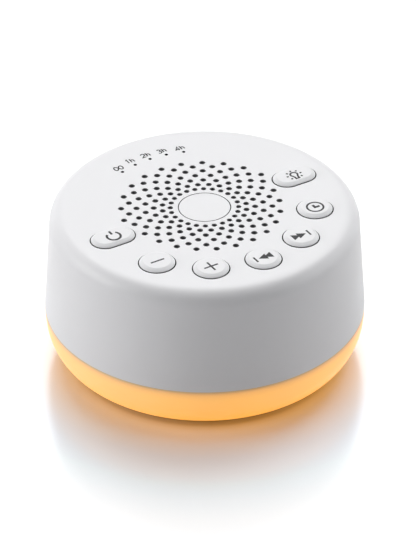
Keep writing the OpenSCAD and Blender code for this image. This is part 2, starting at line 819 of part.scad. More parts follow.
module speaker_yoke() {
    color(screw_steel) translate([0, 0, yoke_z]) {
        cylinder(r = plate_r, h = yoke_t, $fn = fine);
        cylinder(d = pole_d, h = basket_z - yoke_z, $fn = fine);
    }
}

// Strip with two solder lugs on the back of the basket
module speaker_terminals() {
    strip_z = flange_top_z - basket_t - room - tag_h;
    color([0.55, 0.38, 0.2]) translate([-tag_w / 2, tag_y, strip_z]) cube([tag_w, tag_t, tag_h]);
    color(screw_steel) for (x = [-1, 1])
        translate([x * tag_w / 4 - tag_lug_w / 2, tag_y + tag_t - eps, strip_z])
            cube([tag_lug_w, tag_t, tag_h / 2]);
}

module speaker_screws() {
    l = top_z - pilot_spare - tip_gap - flange_top_z + basket_t;
    at_ring(speaker_boss_ring_r, speaker_boss_angles, flange_top_z - basket_t) small_screw(l);
}

// ---- Chassis and main board ----

module chassis() {
    post_h = seam_z - cover_top_z;
    post_hole = cover_screw_l - (cover_top_z - head_seat_z) + 1;
    color(housing_white) difference() {
        union() {
            translate([0, 0, seam_z]) cylinder(r = chassis_r, h = chassis_t, $fn = fine);
            at_ring(main_boss_ring_r, main_boss_angles, chassis_top_z - eps)
                cylinder(d = main_boss_d, h = standoff_h + eps, $fn = small_fn);
            at_ring(post_ring_r, post_angles, cover_top_z)
                cylinder(d = post_d, h = post_h + eps, $fn = small_fn);
        }
        at_ring(case_boss_ring_r, case_boss_angles, seam_z)
            pilot(case_screw_d, chassis_t + 1, screw_pass);
        at_ring(main_boss_ring_r, main_boss_angles, main_board_z - main_screw_l + board_t)
            cylinder(r = small_screw_d / 2 + screw_fit, h = main_screw_l, $fn = small_fn);
        at_ring(post_ring_r, post_angles, cover_top_z) pilot(case_screw_d, post_hole);
        at_ring(light_screw_ring_r, light_screw_angles, seam_z)
            pilot(small_screw_d, light_screw_depth);
        at_polar(light_lead_r, light_lead_a, seam_z - 1)
            cylinder(r = light_lead_hole_r, h = chassis_t + 2, $fn = small_fn);
    }
}

module case_screws() {
    color(screw_steel) at_ring(case_boss_ring_r, case_boss_angles, seam_z)
        screw(case_screw_d, case_screw_l, case_head_d, case_head_h);
}

tip_room = 0.2;
main_screw_l = board_t + standoff_h - tip_room;
light_screw_depth = chassis_t - tip_gap;
sound_chip = [10, 10, 1.6];
sound_chip_at = [18 - main_board_r, -13];
memory_chip = [5.3, 8, 1.5];
memory_chip_at = [-6, 14 - main_board_r];
amplifier_chip = [6.2, 5, 1.5];
amplifier_chip_at = [main_board_r - 18, -13];
capacitor_d = 6.3;
capacitor_h = 7.7;
capacitor_at = [[main_board_r - 15, 3], [main_board_r - 15, 11]];
resistor = [1.2, 2.0, 0.6];
resistor_count = 8;
resistor_pitch = 2.6;
resistor_row_at = [4, 12 - main_board_r];

module main_board() {
    color(board_green) translate([0, 0, main_board_z]) difference() {
        union() {
            cylinder(r = main_board_r, h = board_t, $fn = fine);
            translate([-tongue_w / 2, 0, 0]) cube([tongue_w, tongue_y, board_t]);
        }
        at_ring(main_boss_ring_r, main_boss_angles) pilot(small_screw_d, board_t + 1, screw_pass);
    }
}

module main_board_screws() {
    l = main_screw_l - tip_room;
    at_ring(main_boss_ring_r, main_boss_angles, main_board_top_z) mirror([0, 0, 1]) small_screw(l);
}

// A chip: a square case in the middle and a strip of legs on two sides
module chip(size, at) {
    leg = 0.8;
    translate([at[0], at[1], main_board_top_z]) {
        color(black_plastic) translate([-size[0] / 2, -size[1] / 2, 0]) cube(size);
        color(screw_steel) for (s = [-1, 1])
            translate([s * (size[0] + leg) / 2 - leg / 2, -size[1] * 0.45, 0])
                cube([leg + eps, size[1] * 0.9, 0.3]);
    }
}

module sound_chip() { chip(sound_chip, sound_chip_at); }
module memory_chip() { chip(memory_chip, memory_chip_at); }
module amplifier_chip() { chip(amplifier_chip, amplifier_chip_at); }

module capacitors() {
    color([0.75, 0.76, 0.78]) for (p = capacitor_at)
        translate([p[0], p[1], main_board_top_z]) cylinder(d = capacitor_d, h = capacitor_h, $fn = small_fn);
}

module chip_resistors() {
    color([0.2, 0.2, 0.22]) for (i = [0:resistor_count - 1])
        translate([resistor_row_at[0] + i * resistor_pitch, resistor_row_at[1], main_board_top_z])
            cube(resistor);
}

module lead_sockets() {
    color([0.92, 0.9, 0.84]) {
        translate([-speaker_socket[0] / 2, speaker_socket_y - speaker_socket[1] / 2, main_board_top_z])
            cube(speaker_socket);
        at_polar(key_socket_r, key_socket_a, main_board_top_z)
            translate([-key_socket[0] / 2, -key_socket[1] / 2, 0]) cube(key_socket);
    }
}

// ---- Power inlet ----

module along_inlet(y) {
    translate([0, y, inlet_z]) rotate([-90, 0, 0]) children();
}

module dc_inlet() {
    nose_y = inlet_front_y + inlet_nose_l;
    bore_y = nose_y - inlet_bore_l;
    color(black_plastic) difference() {
        union() {
            translate([-inlet_w / 2, inlet_front_y - inlet_l, main_board_top_z])
                cube([inlet_w, inlet_l, inlet_h]);
            along_inlet(inlet_front_y - eps)
                cylinder(d = inlet_nose_d, h = inlet_nose_l + eps, $fn = round_fn);
        }
        along_inlet(bore_y) cylinder(d = inlet_bore_d, h = inlet_bore_l + 1, $fn = round_fn);
        along_inlet(bore_y - inlet_root_l)
            cylinder(r = inlet_root_d / 2 + screw_fit, h = inlet_root_l + 1, $fn = small_fn);
    }
}

// Centre pin of the inlet, with a thicker root in the inlet's body and a rounded tip
module dc_inlet_pin() {
    nose_y = inlet_front_y + inlet_nose_l;
    bore_y = nose_y - inlet_bore_l;
    tip = inlet_pin_d / 2;
    l = inlet_bore_l - inlet_pin_set_in - tip;
    color(screw_steel) {
        along_inlet(bore_y - inlet_root_l) cylinder(d = inlet_root_d, h = inlet_root_l, $fn = small_fn);
        along_inlet(bore_y) rotate_extrude($fn = small_fn)
            polygon(concat([[0, 0], [tip, 0]], arc(0, l, tip, 0, 90, 6)));
    }
}

// ---- Light ring and base ----

module light_ring() {
    flange_z = seam_z - ring_flange_t;
    outer = quarter(ring_foot_r, -seam_z, body_r - ring_foot_r, ring_h, ring_power);
    inner = quarter(ring_foot_r, -flange_z, body_r - ring_foot_r - ring_wall,
                    ring_h - ring_flange_t - ring_floor, ring_power);
    lip_z = foot_gap + cover_rim_t;
    color([0.98, 0.75, 0.4, 0.9]) rotate_extrude($fn = fine) polygon(concat(
        [[ring_flange_in, flange_z], [ring_flange_in, seam_z]],
        [for (p = outer) [p[0], -p[1]]],
        [[rebate_r, foot_gap], [rebate_r, lip_z], [lip_r, lip_z], [lip_r, cover_top_z]],
        [for (p = reversed(inner)) [p[0], -p[1]]]));
}

module light_board() {
    color([0.95, 0.95, 0.93]) translate([0, 0, seam_z - light_board_t]) difference() {
        tube(light_board_r, light_board_in, light_board_t);
        at_ring(light_screw_ring_r, light_screw_angles)
            pilot(small_screw_d, light_board_t + 1, screw_pass);
    }
}

module warm_leds() {
    angles = [for (i = [0:light_count - 1]) (i + 0.5) * 360 / light_count];
    color([1, 0.85, 0.5]) at_ring(light_r, angles, seam_z - light_board_t - light_h)
        translate([-light_w / 2, -light_w / 2, 0]) cube([light_w, light_w, light_h]);
}

module light_board_screws() {
    l = light_board_t + light_screw_depth - tip_room;
    at_ring(light_screw_ring_r, light_screw_angles, seam_z - light_board_t) small_screw(l);
}

module bottom_cover() {
    color([0.9, 0.9, 0.9]) difference() {
        union() {
            translate([0, 0, foot_gap]) cylinder(r = cover_r, h = cover_rim_t, $fn = fine);
            translate([0, 0, foot_gap]) cylinder(r = spigot_r, h = ring_floor, $fn = fine);
        }
        at_ring(foot_ring_r, foot_angles, foot_gap - 1)
            cylinder(r = foot_d / 2 + side_gap / 2, h = foot_recess + 1, $fn = round_fn);
        at_ring(post_ring_r, post_angles, foot_gap - 1)
            cylinder(r = case_head_d / 2 + screw_pass, h = head_seat_z - foot_gap + 1, $fn = small_fn);
        at_ring(post_ring_r, post_angles, head_seat_z)
            pilot(case_screw_d, ring_floor, screw_pass);
    }
}

module cover_screws() {
    color(screw_steel) at_ring(post_ring_r, post_angles, head_seat_z)
        screw(case_screw_d, cover_screw_l, case_head_d, case_head_h);
}

module rubber_feet() {
    color([0.15, 0.15, 0.16]) at_ring(foot_ring_r, foot_angles)
        cylinder(d = foot_d, h = foot_gap + foot_recess, $fn = round_fn);
}

// ---- Leads ----

function unit(v) = v / norm(v);

// Point at t on a smooth curve with the end points a and d, drawn towards b and c
function curve(a, b, c, d, t) =
    pow(1 - t, 3) * a + 3 * pow(1 - t, 2) * t * b + 3 * (1 - t) * t * t * c + t * t * t * d;

// Direction of a path at point i, straight down at both ends
function heading(path, i, down) =
    i == 0 || i == len(path) - 1 ? down : unit(path[i + 1] - path[i - 1]);

// A round lead along such a curve, from a point on top down to a point below
module lead(a, b, c, d) {
    rings = 16;
    sides = 8;
    path = [for (i = [0:rings]) curve(a, b, c, d, i / rings)];
    points = [for (i = [0:rings])
        let (ahead = heading(path, i, [0, 0, -1]),
             u = unit(cross(ahead, [1, 0, 0])), v = cross(ahead, u))
        for (k = [0:sides - 1]) let (t = 360 * k / sides) path[i] + lead_d / 2 * (cos(t) * u + sin(t) * v)];
    walls = [for (i = [0:rings - 1], k = [0:sides - 1])
        let (n = (k + 1) % sides) [i * sides + k, i * sides + n, (i + 1) * sides + n, (i + 1) * sides + k]];
    polyhedron(points, concat([[for (k = [sides - 1:-1:0]) k]], walls,
                              [[for (k = [0:sides - 1]) rings * sides + k]]));
}

module speaker_leads() {
    lug_z = flange_top_z - basket_t - room - tag_h;
    socket_z = main_board_top_z + speaker_socket[2];
    y0 = tag_y + 1.5 * tag_t;
    for (s = [-1, 1]) color(s < 0 ? "black" : "firebrick")
        lead([s * tag_w / 4, y0, lug_z], [s * tag_w / 4, y0, lug_z - 5],
             [s * 1.3, speaker_socket_y, socket_z + 6], [s * 1.3, speaker_socket_y, socket_z]);
}

// Flat lead from the key board down to its socket, as wide as the socket's mouth
module key_lead() {
    w = key_socket[1] - 2;
    steps = 14;
    start = [key_board_in + 2, key_board_z];
    end = [key_socket_r, main_board_top_z + key_socket[2]];
    drop = (start[1] - end[1]) / 2;
    path = [for (i = [0:steps]) curve(start, start - [0, drop], end + [0, drop], end, i / steps)];
    function side(i, d) = let (ahead = heading(path, i, [0, -1])) path[i] + d * [ahead[1], -ahead[0]];
    color("lightgrey") rotate(key_socket_a) rotate([90, 0, 0]) translate([0, 0, -w / 2])
        linear_extrude(w) polygon(concat([for (i = [0:steps]) side(i, lead_d / 2)],
                                         [for (i = [steps:-1:0]) side(i, -lead_d / 2)]));
}

module light_leads() {
    for (s = [-1, 1]) color(s < 0 ? "black" : "firebrick")
        at_polar(light_lead_r, light_lead_a, seam_z)
            translate([0, s * light_lead_gap / 2, 0])
                cylinder(d = lead_d, h = main_board_z - seam_z, $fn = small_fn);
}

top_housing();
centre_cap();
light_ring();
bottom_cover();
rubber_feet();
cover_screws();
chassis();
case_screws();
power_key();
minus_key();
plus_key();
previous_key();
next_key();
timer_key();
light_key();
power_plunger();
minus_plunger();
plus_plunger();
previous_plunger();
next_plunger();
timer_plunger();
light_plunger();
tact_switches();
key_board();
key_board_screws();
timer_leds();
timer_light_guide();
dust_cloth();
speaker_gasket();
speaker_basket();
speaker_surround();
speaker_cone();
dust_dome();
voice_coil();
speaker_spider();
front_plate();
ring_magnet();
speaker_yoke();
speaker_terminals();
speaker_screws();
main_board();
main_board_screws();
sound_chip();
memory_chip();
amplifier_chip();
capacitors();
chip_resistors();
lead_sockets();
dc_inlet();
dc_inlet_pin();
light_board();
warm_leds();
light_board_screws();
speaker_leads();
key_lead();
light_leads();
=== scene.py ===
import math
import bpy
import numpy as np
from mathutils import Matrix, Vector
from mathutils.geometry import delaunay_2d_cdt


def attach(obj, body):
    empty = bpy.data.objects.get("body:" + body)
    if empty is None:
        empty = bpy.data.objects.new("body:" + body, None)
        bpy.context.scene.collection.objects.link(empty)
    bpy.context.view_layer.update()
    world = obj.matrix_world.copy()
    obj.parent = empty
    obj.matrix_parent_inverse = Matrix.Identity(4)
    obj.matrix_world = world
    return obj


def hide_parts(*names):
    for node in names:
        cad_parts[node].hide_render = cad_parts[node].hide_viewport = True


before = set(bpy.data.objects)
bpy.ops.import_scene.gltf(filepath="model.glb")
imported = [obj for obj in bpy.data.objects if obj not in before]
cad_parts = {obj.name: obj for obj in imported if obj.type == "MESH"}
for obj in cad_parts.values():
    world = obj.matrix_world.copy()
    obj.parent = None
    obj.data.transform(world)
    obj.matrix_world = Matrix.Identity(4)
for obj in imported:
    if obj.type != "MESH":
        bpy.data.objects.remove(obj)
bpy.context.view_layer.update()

# Lengths below are in mm, heights are above the table; meshes are made in metres
mm = 0.001
print("frame loaded:", len(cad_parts), "nodes")

# elevation and turn give the direction, aside is where the middle lies off the axis
viewFrom = {"elevation": 34.012, "turn": 31.5, "roll": -0.177, "aside": (-0.946, 20.468),
            "distance": 1213.514, "aimHeight": 1.0, "lens": 248.56, "sensorHeight": 36.0, "clip": (0.05, 20)}


def addObject(name, data):
    thing = bpy.data.objects.new(name, data)
    bpy.context.scene.collection.objects.link(thing)
    return thing


def turnMatrix(degrees):
    c, s = math.cos(math.radians(degrees)), math.sin(math.radians(degrees))
    return np.array([[c, -s, 0], [s, c, 0], [0, 0, 1.0]])


def placeCamera(view):
    e, roll = math.radians(view["elevation"]), math.radians(view["roll"])
    ahead = np.array([0, math.cos(e), -math.sin(e)])
    right = np.array([1.0, 0, 0])
    up = np.cross(right, ahead)
    rolledRight = math.cos(roll) * right + math.sin(roll) * up
    rolledUp = -math.sin(roll) * right + math.cos(roll) * up
    axes = np.array([rolledRight, -rolledUp, ahead])
    eye = -axes.T @ np.array([*view["aside"], view["distance"]]) + [0, 0, view["aimHeight"]]
    spin = turnMatrix(-view["turn"])
    place = np.eye(4)
    place[:3, :3] = spin @ np.array([rolledRight, rolledUp, -ahead]).T
    place[:3, 3] = spin @ eye * mm
    data = bpy.data.cameras.new("viewCamera")
    data.lens = view["lens"]
    data.sensor_fit = "VERTICAL"
    data.sensor_height = view["sensorHeight"]
    data.clip_start, data.clip_end = view["clip"]
    camera = addObject("viewCamera", data)
    camera.matrix_world = Matrix(place.tolist())
    bpy.context.scene.camera = camera


placeCamera(viewFrom)
bpy.context.scene.view_settings.view_transform = "Standard"


def linear(hexColour):
    # sRGB hex to linear: the low part is divided by 12.92, the rest is ((c + 0.055) / 1.055) ** 2.4
    c = np.array([int(hexColour[i:i + 2], 16) for i in (1, 3, 5)]) / 255
    c = np.where(c <= 0.04045, c / 12.92, ((c + 0.055) / 1.055) ** 2.4)
    return (*c.tolist(), 1.0)


def emptyTree(owner):
    # The node tree of a material or world, with nothing in it yet
    owner.use_nodes = True
    owner.node_tree.nodes.clear()
    return owner.node_tree


def setNode(tree, node, **values):
    # A value is one of the node's own settings, or goes to an input by name, or by number as in0: a socket, or
    # a node for its first socket, is linked there, and anything else becomes the input's own value
    for key, value in values.items():
        if key in node.bl_rna.properties:
            setattr(node, key, value)
            continue
        socket = node.inputs[int(key[2:]) if key.startswith("in") else key.replace("_", " ")]
        if isinstance(value, bpy.types.Node):
            value = value.outputs[0]
        if isinstance(value, bpy.types.NodeSocket):
            tree.links.new(value, socket)
        else:
            socket.default_value = value
    return node


def addNode(tree, kind, **values):
    return setNode(tree, tree.nodes.new("ShaderNode" + kind), **values)


def setStops(ramp, stops):
    # Stops of a colour ramp, given as place: share of white, or place: colour
    for place, share in stops.items():
        colour = linear(share) if isinstance(share, str) else (share, share, share, 1.0)
        ramp.color_ramp.elements.new(place).color = colour
    ramp.color_ramp.elements.remove(ramp.color_ramp.elements[0])
    ramp.color_ramp.elements.remove(ramp.color_ramp.elements[-1])


lampAim = 0.03  # the height in metres that the lamps turn to
# azimuth is seen from the front, + to the right of the camera; distance and size are in metres
studioLamps = {
    "backSoftbox": {"azimuth": 170, "elevation": 52, "distance": 3.0, "size": (3.0, 2.2), "watts": 58},
    "topSoftbox": {"azimuth": 170, "elevation": 72, "distance": 3.0, "size": (3.0, 2.2), "watts": 31},
    "leftSoftbox": {"azimuth": -80, "elevation": 8, "distance": 3.0, "size": (2.4, 2.4), "watts": 80},
    "rightSoftbox": {"azimuth": 84, "elevation": 8, "distance": 3.0, "size": (2.4, 2.4), "watts": 35},
}


def hangLamp(name, lamp):
    azimuth, elevation = math.radians(lamp["azimuth"] - viewFrom["turn"]), math.radians(lamp["elevation"])
    direction = Vector((math.sin(azimuth) * math.cos(elevation), -math.cos(azimuth) * math.cos(elevation),
                        math.sin(elevation)))
    data = bpy.data.lights.new(name, "AREA")
    data.shape = "RECTANGLE"
    data.size, data.size_y = lamp["size"]
    data.energy = lamp["watts"]
    hung = addObject(name, data)
    hung.location = direction * lamp["distance"] + Vector((0, 0, lampAim))
    hung.rotation_euler = direction.to_track_quat("Z", "Y").to_euler()


for lampName, lamp in studioLamps.items():
    hangLamp(lampName, lamp)

# dim is what lights the object, the camera and reflections see plain white
backdrop = {"dim": "#161617", "white": "#ffffff"}


def seenBy(tree, *rays):
    # 1 for the camera's rays and those named, 0 for the light that falls on things
    path = addNode(tree, "LightPath")
    shown = path.outputs["Is Camera Ray"]
    for ray in rays:
        shown = addNode(tree, "Math", operation="MAXIMUM", in0=shown, in1=path.outputs[ray])
    return shown


def paintWorld(colours):
    bpy.context.scene.world = bpy.data.worlds.new("paleStudio")
    tree = emptyTree(bpy.context.scene.world)
    shown = seenBy(tree, "Is Glossy Ray", "Is Transmission Ray")
    dim = addNode(tree, "Background", Color=linear(colours["dim"]))
    white = addNode(tree, "Background", Color=linear(colours["white"]))
    both = addNode(tree, "MixShader", Fac=shown, in1=dim, in2=white)
    addNode(tree, "OutputWorld", Surface=both)


paintWorld(backdrop)

# bounce is what lights the object. The colours the camera sees on the board go by distance from the middle in mm
# and hold a painted shadow, darker and cooler where things stand on it, the cool tint painting out part of the
# ring's orange glow; lift is the white that the camera sees on top of that, also by distance, none near the middle
# so the painted shadow stays dark there
floorBoard = {"half": 3000, "reach": 400, "bounce": "#d8d8da", "shine": 0.15, "roughness": 0.2,
              "seen": {40: "#ada29e", 42.5: "#b3adad", 44: "#d6d7e5", 46: "#e7ecfd", 50: "#eff5ff", 60: "#e7f1ff",
                       75: "#f3fcff", 90: "#ffffff"},
              "lift": {45: "#000000", 50: "#000027", 60: "#4b555f", 75: "#797c80", 90: "#818181", 300: "#797979"}}


def layFloor(board):
    side = board["half"] * mm
    mesh = bpy.data.meshes.new("paleFloor")
    mesh.from_pydata([(-side, -side, 0), (side, -side, 0), (side, side, 0), (-side, side, 0)], [], [(0, 1, 2, 3)])
    floor = addObject("paleFloor", mesh)
    paint = bpy.data.materials.new("paleFloorPaintedShadow")
    mesh.materials.append(paint)
    tree = emptyTree(paint)
    shown = seenBy(tree, "Is Glossy Ray")
    place = addNode(tree, "TexCoord").outputs["Object"]
    away = addNode(tree, "VectorMath", operation="LENGTH", in0=place)
    away = addNode(tree, "MapRange", Value=away.outputs["Value"], From_Max=board["reach"] * mm)
    ramps = []
    for colours in (board["seen"], board["lift"]):
        ramps.append(addNode(tree, "ValToRGB", Fac=away))
        setStops(ramps[-1], {distance / board["reach"]: colour for distance, colour in colours.items()})
    # The matt board's colour is the first ramp, a painted shadow round the object's foot
    matt = addNode(tree, "BsdfDiffuse", Color=ramps[0])
    lift = addNode(tree, "Emission", Color=ramps[1], Strength=1.0)
    gloss = addNode(tree, "BsdfGlossy", Color=linear("#ffffff"), Roughness=board["roughness"])
    satin = addNode(tree, "MixShader", Fac=board["shine"], in1=matt, in2=gloss)
    seen = addNode(tree, "AddShader", in0=satin, in1=lift)
    bounce = addNode(tree, "BsdfDiffuse", Color=linear(board["bounce"]))
    both = addNode(tree, "MixShader", Fac=shown, in1=bounce, in2=seen)
    addNode(tree, "OutputMaterial", Surface=both)


layFloor(floorBoard)
print("camera, lamps and floor in place")


def newShell():
    return {"points": np.zeros((0, 3)), "blocks": []}


def addPoints(shell, points):
    # Appends points and gives their numbers, in the same layout
    start = len(shell["points"])
    flat = np.asarray(points, float).reshape(-1, 3)
    shell["points"] = np.vstack([shell["points"], flat])
    return start + np.arange(len(flat)).reshape(np.shape(points)[:-1])


def addBand(shell, a, b, finish=0, keep=None):
    # Quads between two closed rows a and b of the same length; keep picks some of them
    quads = np.stack([a, np.roll(a, -1, -1), np.roll(b, -1, -1), b], -1)
    shell["blocks"].append((quads[keep] if keep is not None else quads.reshape(-1, 4), finish))


def addCap(shell, row, finish=0):
    shell["blocks"].append((np.atleast_2d(row), finish))


def addRows(shell, rows, finishes=None, ends=True):
    # A band between each two rows that follow each other, and a flat face on the first and last of them
    finishes = [0] * (len(rows) - 1) if finishes is None else finishes
    for i, finish in enumerate(finishes):
        addBand(shell, rows[i], rows[i + 1], finish)
    if ends:
        addCap(shell, rows[0][::-1], finishes[0])
        addCap(shell, rows[-1], finishes[-1])


def facesOut(shell):
    # Six times the volume is the sum of a . (b x c) over all triangles; below 0 the shell is inside out
    volume = 0.0
    for block, finish in shell["blocks"]:
        corners = shell["points"][block]
        volume += np.sum(corners[:, :1] * np.cross(corners[:, 1:-1], corners[:, 2:]))
    if volume < 0:
        shell["blocks"] = [(block[:, ::-1], finish) for block, finish in shell["blocks"]]
    return shell


def moved(shell, turn=0.0, by=(0, 0, 0)):
    # First the turn about Z, then the move
    return {"points": shell["points"] @ turnMatrix(turn).T + by, "blocks": shell["blocks"]}


def alongY(shell, height):
    # Lays a shell that was turned about Z along +Y at that height: (x, y, z) goes to (x, z, height - y)
    x, y, z = shell["points"].T
    return {"points": np.stack([x, z, height - y], -1), "blocks": shell["blocks"]}


def spaced(shell, radius, angles):
    # The same shell at that distance from the axis, once for each angle
    return [moved(moved(shell, by=(radius, 0, 0)), angle) for angle in angles]


def joined(shells):
    whole = newShell()
    for shell in shells:
        numbers = addPoints(whole, shell["points"])
        whole["blocks"] += [(numbers[block], finish) for block, finish in shell["blocks"]]
    return whole


def softCorners(corners, closed=False, steps=4, hold=0.05):
    # Outline through (r, z, radius): each corner becomes an arc between its two tangent points, and one
    # more point on each side keeps the flats flat
    out = []
    count = len(corners)
    for i, (r, z, radius) in enumerate(corners):
        point = np.array([r, z], float)
        if radius <= 0 or (not closed and i in (0, count - 1)):
            out.append(point)
            continue
        before = np.array(corners[i - 1][:2], float) - point
        after = np.array(corners[(i + 1) % count][:2], float) - point
        lengths = np.linalg.norm(before), np.linalg.norm(after)
        before, after = before / lengths[0], after / lengths[1]
        half = math.acos(np.clip(before @ after, -1, 1)) / 2
        reach = radius / math.tan(half)
        middle = point + (before + after) / np.linalg.norm(before + after) * radius / math.sin(half)
        start, end = point + before * reach - middle, point + after * reach - middle
        full = math.acos(np.clip(start @ end / radius ** 2, -1, 1))
        t = np.linspace(0, 1, steps + 1)[:, None]
        arc = middle + (np.sin((1 - t) * full) * start + np.sin(t * full) * end) / math.sin(full)
        if lengths[0] > 2 * (reach + hold):
            out.append(point + before * (reach + hold))
        out.extend(arc)
        if lengths[1] > 2 * (reach + hold):
            out.append(point + after * (reach + hold))
    return np.array(out)


def superQuarter(r, z, a, b, power, steps):
    # Quarter of a superellipse round (r, z): (r + a cos(t) ** (2 / power), z + b sin(t) ** (2 / power))
    t = np.radians(np.linspace(0, 90, steps + 1))
    c, s = np.clip(np.cos(t), 0, 1), np.clip(np.sin(t), 0, 1)
    return np.stack([r + a * c ** (2 / power), z + b * s ** (2 / power)], -1)


def ringRow(r, z, steps, spread=0.0, lift=0.0):
    # A circle, or a long hole's outline when spread is over 0: the point at angle a is
    # (side * spread + r cos a, r sin a, z), with side -1 on the left half; lift widens the straight sides.
    # With r, or r and z, as a column of numbers it gives one row for each
    if spread:
        half = np.linspace(-90, 90, steps // 2 + 1)
        a, side = np.radians(np.concatenate([half, half + 180])), np.repeat([1.0, -1.0], len(half))
    else:
        a, side = np.arange(steps) * 2 * np.pi / steps, np.zeros(steps)
    r = r + lift * (np.abs(np.cos(a)) < 1e-6)
    return np.stack([side * spread + r * np.cos(a), r * np.sin(a), z + 0 * r], -1)


def skinned(points, closed=False, finishes=None):
    # A shell from rows of points; closed joins the last row to the first, otherwise each gets a flat face
    shell = newShell()
    rows = addPoints(shell, points)
    addRows(shell, np.vstack([rows, rows[:1]]) if closed else rows, finishes, ends=not closed)
    return facesOut(shell)


def turned(outline, steps, closed=False, finishes=None):
    # An outline (r, z) carried round Z
    return skinned(ringRow(outline[:, :1], outline[:, 1:], steps), closed, finishes)


def flatBetween(shell, rim, loops):
    # Flat face from the rim to the loops inside it: the Delaunay triangles of all their points. A triangle
    # with its three corners on one loop lies in that loop's opening and goes
    loops = [rim, *loops]
    counts = [len(row) for row in loops]
    rows, owner = np.concatenate(loops), np.repeat(np.arange(len(loops)), counts)
    edges = [np.stack([k, np.roll(k, -1)], -1) for k in np.split(np.arange(len(rows)), np.cumsum(counts)[:-1])]
    flat = [Vector(p) for p in shell["points"][rows][:, :2].tolist()]
    _, _, faces, origin, _, _ = delaunay_2d_cdt(flat, np.concatenate(edges).tolist(), [], 0, 1e-7)
    source = np.array([o[0] for o in origin])
    triangles = source[np.array(faces)]
    owners = owner[triangles]
    inside = (owners[:, 0] > 0) & (owners[:, 0] == owners[:, 1]) & (owners[:, 1] == owners[:, 2])
    triangles = triangles[~inside]
    p = shell["points"][rows][triangles][:, :, :2]
    u, v = p[:, 1] - p[:, 0], p[:, 2] - p[:, 0]
    flip = u[:, 0] * v[:, 1] - u[:, 1] * v[:, 0] < 0
    triangles[flip] = triangles[flip][:, ::-1]
    return rows[triangles]


def makePiece(name, shell, finishes, standsFor=None, body="housing", sharpFrom=38):
    # Edges that bend by more than sharpFrom degrees look sharp
    mesh = bpy.data.meshes.new(name)
    used = np.unique(np.concatenate([block.ravel() for block, finish in shell["blocks"]]))
    place = np.zeros(len(shell["points"]), int)
    place[used] = np.arange(len(used))  # points that no face uses are left out
    faces = [face for block, finish in shell["blocks"] for face in place[block].tolist()]
    marks = np.concatenate([np.full(len(block), finish, np.int32) for block, finish in shell["blocks"]])
    mesh.from_pydata((shell["points"][used] * mm).tolist(), [], faces)
    mesh.polygons.foreach_set("material_index", marks)
    mesh.polygons.foreach_set("use_smooth", np.ones(len(faces), bool))
    mesh.set_sharp_from_angle(angle=math.radians(sharpFrom))
    for finish in finishes:
        mesh.materials.append(finish)
    mesh.update()
    piece = addObject(name, mesh)
    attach(piece, body)
    if standsFor:
        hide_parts(standsFor)
    return piece


def startFinish(name):
    # A new material with its shader and the object coordinates, which are in metres
    finish = bpy.data.materials.new(name)
    tree = emptyTree(finish)
    shader = addNode(tree, "BsdfPrincipled")
    addNode(tree, "OutputMaterial", Surface=shader)
    place = addNode(tree, "TexCoord").outputs["Object"]
    return finish, tree, shader, place


def spotSize(millimetres):
    # Noise and Voronoi scale for spots of that size, on coordinates in metres
    return 1000.0 / millimetres


def bandSize(millimetres):
    # Wave scale for bands of that width: a light and a dark one take 2 pi / 20 of a texture unit
    return 314.16 / (2 * millimetres)


def shaded(colour, tone):
    # The colour darkened by that share, and the colour itself
    full = linear(colour)
    return tuple(c * (1 - tone) for c in full[:3]) + (1.0,), full


def dress(tree, shader, share, colours, height, depth, roughness, vary=0.0, strength=1.0):
    # Paints between two colours by share, and raises the surface by height times a depth in mm; the roughness
    # is one number, or goes from roughness - vary to roughness + vary with the height
    paint = addNode(tree, "Mix", data_type="RGBA", in0=share, in6=colours[0], in7=colours[1])
    bump = addNode(tree, "Bump", Strength=strength, Distance=depth * mm, Height=height)
    if vary:
        low, high = roughness - vary, roughness + vary
        roughness = addNode(tree, "MapRange", Value=height, To_Min=low, To_Max=high)
    setNode(tree, shader, Base_Color=paint.outputs[2], Normal=bump, Roughness=roughness)


def grainFinish(name, colour, roughness, grain, depth, tone=0.03, toneSize=12.0, shine=0.5):
    # Moulded or painted surface: fine grain as bump, faint cloudy tone, roughness that varies a little
    finish, tree, shader, place = startFinish(name)
    setNode(tree, shader, Specular_IOR_Level=shine)
    fine = addNode(tree, "TexNoise", Vector=place, Scale=spotSize(grain), Detail=3.0)
    broad = addNode(tree, "TexNoise", Vector=place, Scale=spotSize(toneSize), Detail=2.0)
    dress(tree, shader, broad, shaded(colour, tone), fine, depth, roughness, vary=0.05)
    return finish


def metalFinish(name, colour, roughness, line, depth, direction="Z"):
    # Bare or plated metal with fine turned or drawn lines one 'line' wide, under cloudy spots of 2.5 mm
    finish, tree, shader, place = startFinish(name)
    setNode(tree, shader, Metallic=1.0)
    cloud = addNode(tree, "TexNoise", Vector=place, Scale=spotSize(2.5), Detail=4.0)
    lines = addNode(tree, "TexWave", wave_type="BANDS", bands_direction=direction, Vector=place,
                    Scale=bandSize(line), Distortion=2.0, Detail=2.0).outputs["Fac"]
    dress(tree, shader, cloud, shaded(colour, 0.2), lines, depth, roughness, vary=0.08, strength=0.6)
    return finish


def weaveFinish(name, colour, gapColour, thread, depth, roughness, sheen=0.0):
    # Plain weave: two sets of sine bands one thread wide, the higher of them on top and gaps where both are low
    finish, tree, shader, place = startFinish(name)
    setNode(tree, shader, Sheen_Weight=sheen)
    bands = [addNode(tree, "TexWave", wave_type="BANDS", bands_direction=d, Vector=place,
                     Scale=bandSize(thread), Distortion=0.6, Detail=2.0, Detail_Scale=2.0) for d in "XY"]
    cross = addNode(tree, "Math", operation="MAXIMUM", in0=bands[0].outputs["Fac"],
                    in1=bands[1].outputs["Fac"])
    fibre = addNode(tree, "TexNoise", Vector=place, Scale=spotSize(thread * 0.4), Detail=4.0)
    raised = addNode(tree, "Math", operation="MULTIPLY", in0=cross, in1=fibre)
    dress(tree, shader, cross, (linear(gapColour), linear(colour)), raised, depth, roughness)
    return finish


